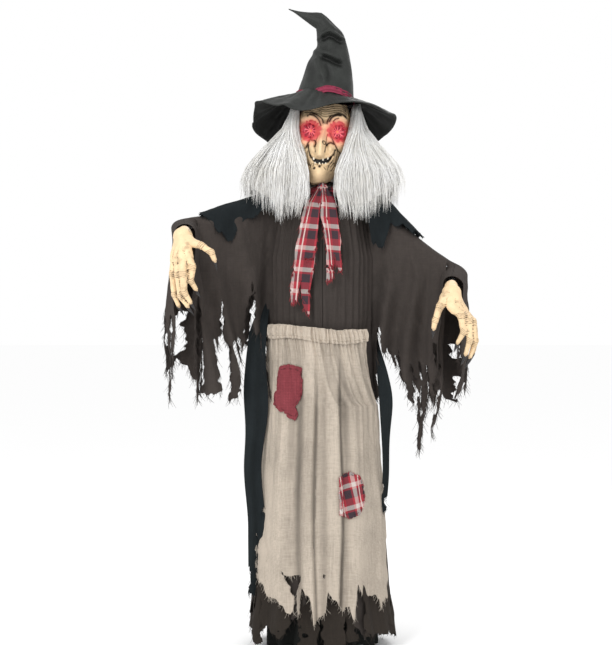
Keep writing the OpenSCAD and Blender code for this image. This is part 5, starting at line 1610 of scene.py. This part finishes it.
def mask():
    """The latex witch face: hooked nose, lined brow, ball cheeks, wide grin and long chin."""
    rows, cols = 320, 280
    z, a = np.meshgrid(np.linspace(-0.008, 0.214, rows), np.linspace(-1.45, 1.45, cols), indexing="ij")
    # Height over the face's foot, half width and half depth
    form = [(-0.008, 0.014, 0.030), (-0.004, 0.032, 0.053), (0.010, 0.043, 0.061), (0.028, 0.054, 0.070),
            (0.060, 0.064, 0.081), (0.100, 0.073, 0.090), (0.130, 0.0765, 0.094), (0.180, 0.074, 0.090),
            (0.214, 0.060, 0.076)]
    heights, widths, depths = zip(*form)
    hx, hy = np.interp(z, heights, widths), np.interp(z, heights, depths)
    bare = hx * np.sin(a)
    x = bare + LEAN * (z - FACE_LEAN_AT)
    f = Face(x, z)
    for shape in (brow, sockets, nose, nose_wings, cheeks, mouth, chin, painted_jaw_shade):
        shape(f)

    # The fine wrinkling of old skin
    f.out = f.out + 0.0009 * fbm(x * 70, z * 85, 3.0, 163, 4) + 0.0014 * fbm(x * 22, z * 30, 1.0, 164, 3)
    # The mask's sides are painted dark where they turn away: painted shade
    f.paint = np.maximum(f.paint, 0.7 * ease(np.abs(a), 1.2, 1.42))

    face_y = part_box("head_form")[0].y / 2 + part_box("head_form")[1].y / 2
    grown = 1 + f.out / np.hypot(hx, hy)
    px = bare * 0.35 * (grown - 1) + x
    py = face_y - hy * np.cos(a) - f.out
    pz = HEAD_LOW + z + f.shift_z
    # The hollows are darkened with a brown wash: partly the mask's paint, partly painted shade
    hollow = np.zeros_like(f.out)
    for step, weight in ((2, 0.5), (4, 0.5)):
        around = (np.roll(f.out, step, 0) + np.roll(f.out, -step, 0)
                  + np.roll(f.out, step, 1) + np.roll(f.out, -step, 1)) / 4
        hollow += weight * ease(around - f.out, 0.00018 * step, 0.00062 * step)
    crease = np.clip(np.maximum(f.paint, 0.85 * hollow), 0, 1) * (1 - 0.5 * f.red)
    f.ink_and_shade = np.clip(f.ink_and_shade, 0, 1) * (1 - 0.7 * f.red)
    obj = add_mesh("mask_skin", np.stack([px, py, pz], -1).reshape(-1, 3), grid_faces(rows, cols), M["latex"])
    for key, value in (("crease", crease), ("glow", f.glow), ("red", f.red), ("ink_and_shade", f.ink_and_shade)):
        set_shade(obj, key, value.ravel())
    thicken(obj, 0.002, 1)
    settle([obj], "head", "mask")

    def at_face(x0, z0):
        """The mask's surface near a place on the face."""
        i = int(np.argmin(np.hypot(x - x0, z - z0)))
        return np.array([px.ravel()[i], py.ravel()[i], pz.ravel()[i]])

    return at_face


def grin(x):
    """The height of the mouth's middle line across the face."""
    stops = [(-34, 75), (-30, 64), (-27, 59), (-20, 54), (-7, 51.5), (6, 52.5), (19, 57), (26, 64),
             (31, 73), (35, 81)]
    return MM * stops_at(np.asarray(x, float) * 1000, stops)


def grin_half(x):
    """Half the height of the open mouth across the face; negative outside it."""
    stops = [(-37, -2), (-34, 2), (-30, 6), (-20, 8), (6, 9), (19, 8.2), (26, 6.5), (31, 4), (35, 1),
             (38, -2)]
    return MM * stops_at(np.asarray(x, float) * 1000, stops)


def teeth(at_face):
    """Crooked little teeth, three above and four below."""
    rng = random.Random(171)
    verts, faces = [], []
    # Place across the face, up or down, half width and length, in millimetres
    places = [(-23, 1, 2.9, 7.5), (2.5, 1, 2.6, 7.0), (16.5, 1, 2.8, 7.0), (-19, -1, 2.4, 5.0),
              (-7.5, -1, 2.4, 5.5),
              (0.5, -1, 1.9, 3.6), (8.5, -1, 2.6, 5.0)]
    for place, up, wide, tall in places:
        x0, wide, tall, deep = place * 0.001, wide * 0.00115, tall * 0.00115, 0.0020
        root = at_face(x0, grin(x0) + up * (grin_half(x0) + 0.0008))
        tilt = rng.uniform(-0.2, 0.2)
        start = len(verts)
        rings, around = 9, 14
        for i in range(rings):
            t = i / (rings - 1)
            r = math.sin(math.pi * (0.12 + 0.80 * (1 - t))) ** 0.5 * (1 - 0.3 * t)
            for j in range(around):
                b = 2 * math.pi * j / around
                u = wide * r * math.copysign(abs(math.cos(b)) ** 0.7, math.cos(b))
                w = deep * r * math.copysign(abs(math.sin(b)) ** 0.7, math.sin(b))
                h = -up * tall * t
                verts.append((root[0] + u + tilt * h, root[1] - 0.0005 + w, root[2] + h))
        faces += stack_faces(start, rings, around)
    obj = add_mesh("mask_teeth", verts, faces, M["tooth"])
    settle([obj], "head")


def eyes(at_face):
    """The two glowing lenses: shallow domes with dark petals, raised rays and a bright middle."""
    radius = 0.0235
    for name, (ex, ez) in zip(("eye_lens_right", "eye_lens_left"), EYES):
        middle = at_face(ex, ez)
        rows, cols = 40, 200
        t, a = np.meshgrid(np.linspace(0.02, 1, rows), np.linspace(0, 2 * math.pi, cols, endpoint=False),
                           indexing="ij")
        wobble = 1.6 * noise(np.cos(a) * 3 + ex * 80, np.sin(a) * 3, t * 2, 181)
        length = 0.75 + 0.25 * noise(np.cos(a) * 2.3 + ex * 70, np.sin(a) * 2.3, 0, 185)
        rays = np.clip(np.cos(a * 9 + wobble), 0, 1) ** 5 * ease(t, 0.06, 0.2) * ease(length - t, -0.05, 0.12)
        petals = np.abs(np.sin(a * 4.5 + wobble * 0.5))
        edge = 0.90 + 0.10 * petals
        dome = 0.0075 * np.sqrt(np.clip(1 - t**2, 0, 1)) + 0.0012 * rays
        dome = dome + 0.0016 * petals * ease(t, 0.3, 0.7) * ease(-t, -1.0, -0.8) + 0.0025 * bump(t, 0.14)
        y = middle[1] - 0.001 - dome
        points = np.stack([middle[0] + radius * 1.04 * t * edge * np.cos(a), y,
                           middle[2] + radius * t * edge * np.sin(a)], -1).reshape(-1, 3)
        faces = grid_faces(rows, cols, True)
        centre = len(points)
        points = np.vstack([points, [middle[0], y[0, 0], middle[2]]])
        faces += [(centre, (j + 1) % cols, j) for j in range(cols)]
        obj = add_mesh(name, points, faces, M["lens"])
        blots = fbm(np.cos(a) * t * 5 + ex * 50, np.sin(a) * t * 5, 1.0, 183, 3)
        gap = (petals * ease(t, 0.18, 0.42) * ease(0.92 - t, -0.06, 0.14)
               * ease(blots, -0.7, 0.25) * (1 - rays))
        set_shade(obj, "gap", np.append(gap.ravel(), 0))
        set_shade(obj, "ray", np.append(rays.ravel(), 0))
        set_shade(obj, "rim", np.append(t.ravel(), 0))
        thicken(obj, 0.002, 0)
        settle([obj], "head")


# ------------------------------------------------------------------ hands

# Each finger is a row of (x, y, z, radius) in millimetres from the wrist to the nail's tip
FINGERS = {
    "right": [
        [(12, -28, -20, 14), (52, -44, -34, 9), (78, -52, -52, 8.5), (88, -50, -76, 6), (94, -46, -102, 1)],
        [(14, -52, -52, 12), (28, -66, -92, 10), (24, -60, -128, 8), (38, -44, -152, 5.5),
         (50, -34, -174, 1)],
        [(2, -54, -62, 12), (4, -70, -110, 10), (8, -62, -160, 8), (24, -46, -186, 5.5), (36, -36, -208, 1)],
        [(-10, -48, -62, 11), (-10, -58, -112, 9.5), (-4, -50, -168, 8), (16, -36, -198, 5.5),
         (32, -28, -220, 1)],
        [(-20, -38, -58, 10), (-26, -42, -108, 8.5), (-22, -36, -164, 7), (-10, -26, -196, 5),
         (4, -20, -220, 1)]],
    "left": [
        [(-15, -26, -20, 14), (-33, -40, -44, 10), (-46, -44, -81, 8.5), (-51, -38, -107, 6),
         (-53, -34, -133, 1)],
        [(-2, -46, -44, 12), (22, -62, -70, 10.5), (29, -58, -113, 8), (13, -44, -144, 5.5),
         (4, -36, -170, 1)],
        [(11, -44, -48, 12), (42, -56, -83, 10), (46, -52, -137, 8), (35, -40, -177, 5.5),
         (22, -32, -207, 1)],
        [(20, -36, -48, 11), (55, -42, -89, 9.5), (59, -38, -146, 7.5), (48, -28, -185, 5.5),
         (35, -22, -216, 1)],
        [(24, -26, -44, 10), (59, -26, -87, 8.5), (66, -22, -137, 7), (59, -14, -172, 5),
         (48, -10, -201, 1)]],
}
PALM = (0, -15, -9, 16)


def capsule(verts, faces, p, q, rp, rq, around=16, rings=9):
    """Adds a closed tapered capsule between two points."""
    p, q = np.array(p, float), np.array(q, float)
    v = q - p
    length = np.linalg.norm(v)
    v = v / length
    side = np.cross(v, [0.2, 0.9, 0.37])
    side /= np.linalg.norm(side)
    other = np.cross(v, side)
    start = len(verts)
    stations = [(-rp * math.cos(t), rp * math.sin(t)) for t in np.linspace(0.25, math.pi / 2, 4)]
    stations += [(length * t, rp + (rq - rp) * t) for t in np.linspace(0.2, 0.8, rings - 5)]
    stations += [(length + rq * math.cos(t), rq * math.sin(t)) for t in np.linspace(math.pi / 2, 0.25, 4)]
    for along, r in stations:
        for j in range(around):
            b = 2 * math.pi * j / around
            verts.append(p + v * along + r * (side * math.cos(b) + other * math.sin(b)))
    faces += stack_faces(start, len(stations), around)


def read_vertices(obj):
    """The places and normals of an object's vertices."""
    result = []
    for key in ("co", "normal"):
        values = np.zeros(len(obj.data.vertices) * 3, np.float32)
        obj.data.vertices.foreach_get(key, values)
        result.append(values.reshape(-1, 3).astype(float))
    return result


def hollows(obj, rounds):
    """How far each vertex lies below its neighbours, in metres, smoothed a little."""
    co, normals = read_vertices(obj)
    count = len(co)
    ends = np.zeros(len(obj.data.edges) * 2, np.int32)
    obj.data.edges.foreach_get("vertices", ends)
    ends = ends.reshape(-1, 2)
    degree = np.bincount(ends.ravel(), minlength=count).astype(float)[:, None]

    def spread(values):
        total = np.zeros_like(values)
        np.add.at(total, ends[:, 0], values[ends[:, 1]])
        np.add.at(total, ends[:, 1], values[ends[:, 0]])
        return total / np.maximum(degree, 1)

    smooth = co
    for _ in range(rounds):
        smooth = spread(smooth)
    return ((smooth - co) * normals).sum(1)


def hand(side):
    """A bony latex hand: knuckles, tendons and creased joints, with a stump that goes back into the arm."""
    _, elbow, wrist = arm_points(side)
    wrist = np.array(wrist)
    back = np.array((elbow - Vector(wrist)).normalized())
    plump = 1.14
    verts, faces = [], []

    def at(entry):
        return wrist + np.array(entry[:3]) * MM, entry[3] * MM * plump

    palm, palm_r = at(PALM)
    capsule(verts, faces, wrist + back * 0.030, palm, 0.0185, palm_r * 1.05)
    fingers = FINGERS[side]
    for finger in fingers:
        joints = [at(entry) for entry in finger]
        capsule(verts, faces, palm, joints[0][0], palm_r, joints[0][1])
        for k in range(3):
            (p, rp), (q, rq) = joints[k], joints[k + 1]
            capsule(verts, faces, p, q, rp * 0.90, rq * 0.94)
            capsule(verts, faces, p - (q - p) * 0.05, p + (q - p) * 0.09, rp * 1.05, rp * 1.03)
    for k in range(1, 4):
        (p, rp), (q, rq) = at(fingers[k][0]), at(fingers[k + 1][0])
        capsule(verts, faces, p, q, rp * 0.95, rq * 0.95)
    obj = add_mesh(f"hand_{side}_skin", verts, faces, M["latex"])
    m = obj.modifiers.new("Merge", "REMESH")
    m.mode = "VOXEL"
    m.voxel_size = 0.0019
    m.use_smooth_shade = True
    m = obj.modifiers.new("Soften", "SMOOTH")
    m.factor = 0.5
    m.iterations = 9
    apply_modifiers(obj)
    co, normals = read_vertices(obj)
    crease = np.zeros(len(co))
    push = 0.0006 * fbm(co[:, 0] * 110, co[:, 1] * 110, co[:, 2] * 90, 191, 3)
    for finger in fingers:
        joints = [at(entry) for entry in finger]
        for k in range(3):
            p, q = joints[k][0], joints[k + 1][0]
            length = np.linalg.norm(q - p)
            v = (q - p) / length
            rel = co - p
            along = rel @ v
            away = np.linalg.norm(rel - along[:, None] * v, axis=1)
            near = ease(-away, -joints[k][1] * 2.0, -joints[k][1] * 1.2)
            share = 0.3 if k == 0 else 1.0
            for d in (-0.0075, -0.0030, 0.0018, 0.0066):
                ring = bump(along - d - 0.001 * np.sin(rel[:, 0] * 300), 0.0012) * near * share
                push = push - 0.0011 * ring
                crease = np.maximum(crease, 0.60 * ring)
            for m_share in (0.45, 0.62):
                ring = bump(along - length * m_share, 0.0014) * near * 0.4
                push = push - 0.0006 * ring
                crease = np.maximum(crease, 0.35 * ring)
        # A tendon runs from the wrist to each knuckle
        p, q = palm, joints[0][0]
        v = (q - p) / np.linalg.norm(q - p)
        rel = co - p
        along = np.clip(rel @ v, 0, np.linalg.norm(q - p))
        away = np.linalg.norm(rel - along[:, None] * v, axis=1)
        push = push + 0.0016 * bump(away - palm_r, 0.004)
    tips = np.array([at(finger[3])[0] for finger in fingers])
    near_tip = np.min(np.linalg.norm(co[:, None, :] - tips[None], axis=2), axis=1)
    crease = np.maximum(crease, 0.8 * bump(near_tip, 0.0075))
    obj.data.vertices.foreach_set("co", (co + normals * push[:, None]).astype(np.float32).ravel())
    obj.data.update()
    # Hollows, joint lines and the rings round the nail beds are painted darker: partly the latex wash, partly
    # painted shade
    for rounds, low, high in ((3, 0.00012, 0.0005), (14, 0.0007, 0.0022)):
        crease = np.maximum(crease, 0.85 * ease(hollows(obj, rounds), low, high))
    stain = fbm(co[:, 0] * 75, co[:, 1] * 75, co[:, 2] * 55, 195, 4)
    crease = np.maximum(crease, 0.42 * ease(stain, 0.0, 0.9))
    for key, value in (("crease", crease), ("glow", 0 * crease), ("red", 0 * crease), ("ink_and_shade", 0 * crease)):
        set_shade(obj, key, value)
    settle([obj], f"hand_{side}", f"hand_{side}")
    nails(side, at, fingers)


def nails(side, at, fingers):
    """Long black claws: curved, ridged and pointed, set into the fingertips."""
    verts, faces = [], []
    for finger in fingers:
        (p, rp), (q, _) = at(finger[3]), at(finger[4])
        v = q - p
        length = np.linalg.norm(v)
        v = v / length
        side_way = np.cross(v, [0, -1, 0.2])
        side_way /= np.linalg.norm(side_way)
        top = np.cross(side_way, v)
        if top[1] > 0:
            top, side_way = -top, -side_way
        start = len(verts)
        rings, around = 14, 14
        for i in range(rings):
            t = i / (rings - 1)
            r = rp * (0.92 - 0.86 * t**1.3)
            mid = (p + v * (rp * -0.3 + (length + rp * 0.15) * t) + top * (rp * 0.30 * (1 - t))
                   - top * 0.004 * t**2)
            for j in range(around):
                b = 2 * math.pi * j / around
                up = 0.55 if math.sin(b) > 0 else 0.35
                ridge = 1 + 0.04 * math.sin(b * 6)
                across, rise = r * math.cos(b) * ridge, r * up * math.sin(b) * ridge
                verts.append(mid + side_way * across + top * rise)
        faces += stack_faces(start, rings, around)
    obj = add_mesh(f"nails_{side}_claws", verts, faces, M["nail"])
    settle([obj], f"hand_{side}", f"nails_{side}")


# ------------------------------------------------------------------ CAD nodes


def dress_cad():
    """Every CAD node that stays gets a procedural material from its record slot."""
    looks = {
        "black_steel": (0.3, 0.0, 220.0, 0.15), "grey_pole": (0.38, 0.0, 160.0, 0.1),
        "bright_steel": (0.3, 1.0, 240.0, 0.1), "arm_tube": (0.4, 1.0, 200.0, 0.1),
        "black_plastic": (0.55, 0.0, 420.0, 0.3), "white_plastic": (0.45, 0.0, 300.0, 0.1),
        "red_plastic": (0.3, 0.0, 200.0, 0.05), "board": (0.5, 0.0, 380.0, 0.2),
        "cell": (0.3, 0.2, 120.0, 0.05),
        "spring": (0.2, 1.0, 200.0, 0.05), "brass": (0.32, 1.0, 200.0, 0.1), "lead": (0.6, 0.0, 260.0, 0.1),
        "form": (0.7, 0.0, 160.0, 0.3), "lamp": (0.25, 0.0, 160.0, 0.05)}
    colors = {m["slot"]: m["base_color"][:3] for m in frame["record"]["materials"]}
    slots = {s["node"]: s["material_slot"] for s in frame["record"]["subparts"]}
    made = {}
    for name, obj in frame["nodes"].items():
        key = slots[name]
        if obj.hide_render or key not in looks:
            continue
        if key not in made:
            rough, metal, grain, strength = looks[key]
            made[key] = hard_surface("Cad_" + key, colors[key], rough, metal, grain, strength)
        obj.data.materials.clear()
        obj.data.materials.append(made[key])


# ------------------------------------------------------------------ stage


def plain_floor():
    """Matt pale studio floor."""
    n = Nodes("FloorPaint")
    return n.finish((0.98, 0.98, 0.98), 0.9, specular=0.0)


def stage():
    """Pale floor, soft studio light and the camera."""
    scene = bpy.context.scene
    far = 60
    floor = add_mesh("floor", [(-far, -far, 0), (far, -far, 0), (far, far, 0), (-far, far, 0)],
                     [(0, 1, 2, 3)],
                     plain_floor(), False)
    world = bpy.data.worlds.new("Studio")
    world.use_nodes = True
    world.node_tree.nodes["Background"].inputs["Color"].default_value = (1, 1, 1, 1)
    world.node_tree.nodes["Background"].inputs["Strength"].default_value = 1.0
    scene.world = world
    for name, place, size, power in (("key", (-1.8, -3.4, 3.0), 1.2, 75), ("fill", (2.6, -3.0, 1.8), 1.8, 22),
                                     ("rim", (0.8, 2.6, 3.0), 1.6, 25)):
        data = bpy.data.lights.new(name, "AREA")
        data.size = size
        data.energy = power
        light = bpy.data.objects.new(name, data)
        scene.collection.objects.link(light)
        light.location = place
        light.rotation_euler = (Vector((0, 0, 1.0)) - Vector(place)).to_track_quat("-Z", "Y").to_euler()
    camera = bpy.data.objects.new("camera", bpy.data.cameras.new("camera"))
    scene.collection.objects.link(camera)
    # The camera's place, the width that it sees at the figure, and its sensor in millimetres
    distance, aside, height, shown, sensor = 4.5, -0.045, 0.91, 1.829, 36
    camera.location = (aside, -distance, height)
    camera.rotation_euler = (math.radians(90), 0, 0)
    camera.data.sensor_width = sensor
    camera.data.lens = sensor * distance / shown
    scene.camera = camera
    scene.view_settings.view_transform = "Standard"


# ------------------------------------------------------------------ build

stage()
under_robe()
dress()
hem_rags()
side_strips()
waistband()
apron()
patch("patch_plum_cloth", "patch_plum", M["plum"], -0.086, 0.716, 0.079, 0.158, 0.0, 201, 0.004,
      [(-0.25, 0.46), (-0.03, 0.50), (0.47, 0.44), (0.50, 0.15), (0.39, -0.12), (0.22, -0.26), (0.32, -0.38),
       (0.19, -0.50), (-0.08, -0.38), (-0.50, -0.22), (-0.50, -0.06), (-0.31, 0.03), (-0.33, 0.26)])
patch("patch_plaid_cloth", "patch_plaid", M["plaid"], 0.0735, 0.436, 0.071, 0.132, 0.22, 205, 0.003,
      [(-0.47, 0.37), (-0.31, 0.42), (-0.06, 0.50), (0.38, 0.37), (0.50, -0.12), (0.34, -0.41),
       (-0.06, -0.50),
       (-0.44, -0.40), (-0.49, 0.02)])
sleeve("right", 0.53, 301, (0.38, 0.66), ((0, 1), (0.6, 0.97), (1, 0.88)), 0.0)
sleeve("left", 0.60, 303, (0.40, 0.66), ((0, 1), (0.6, 0.95), (0.8, 0.72), (1, 0.58)), 0.055)
cape_half("right", 0.84,
          [(90, 1232), (120, 1228), (150, 1222), (170, 1212), (190, 1198), (215, 1190), (238, 1176),
           (250, 1148),
           (262, 1138), (275, 1152), (300, 1184), (319, 1194), (345, 1206)],
          [(0, 1120), (60, 1150), (110, 1105), (160, 1150), (200, 1118), (240, 1165), (280, 1140),
           (345, 1196)], 311)
cape_half("left", 0.62,
          [(90, 1232), (125, 1200), (141, 1130), (172, 1128), (192, 1186), (230, 1176), (270, 1158),
           (290, 1172)],
          [(0, 1120), (50, 1100), (110, 1150), (160, 1110), (210, 1155), (290, 1150)], 313)
scarf()
crown()
brim()
band()
wig()
face = mask()
teeth(face)
eyes(face)
hand("right")
hand("left")
dress_cad()
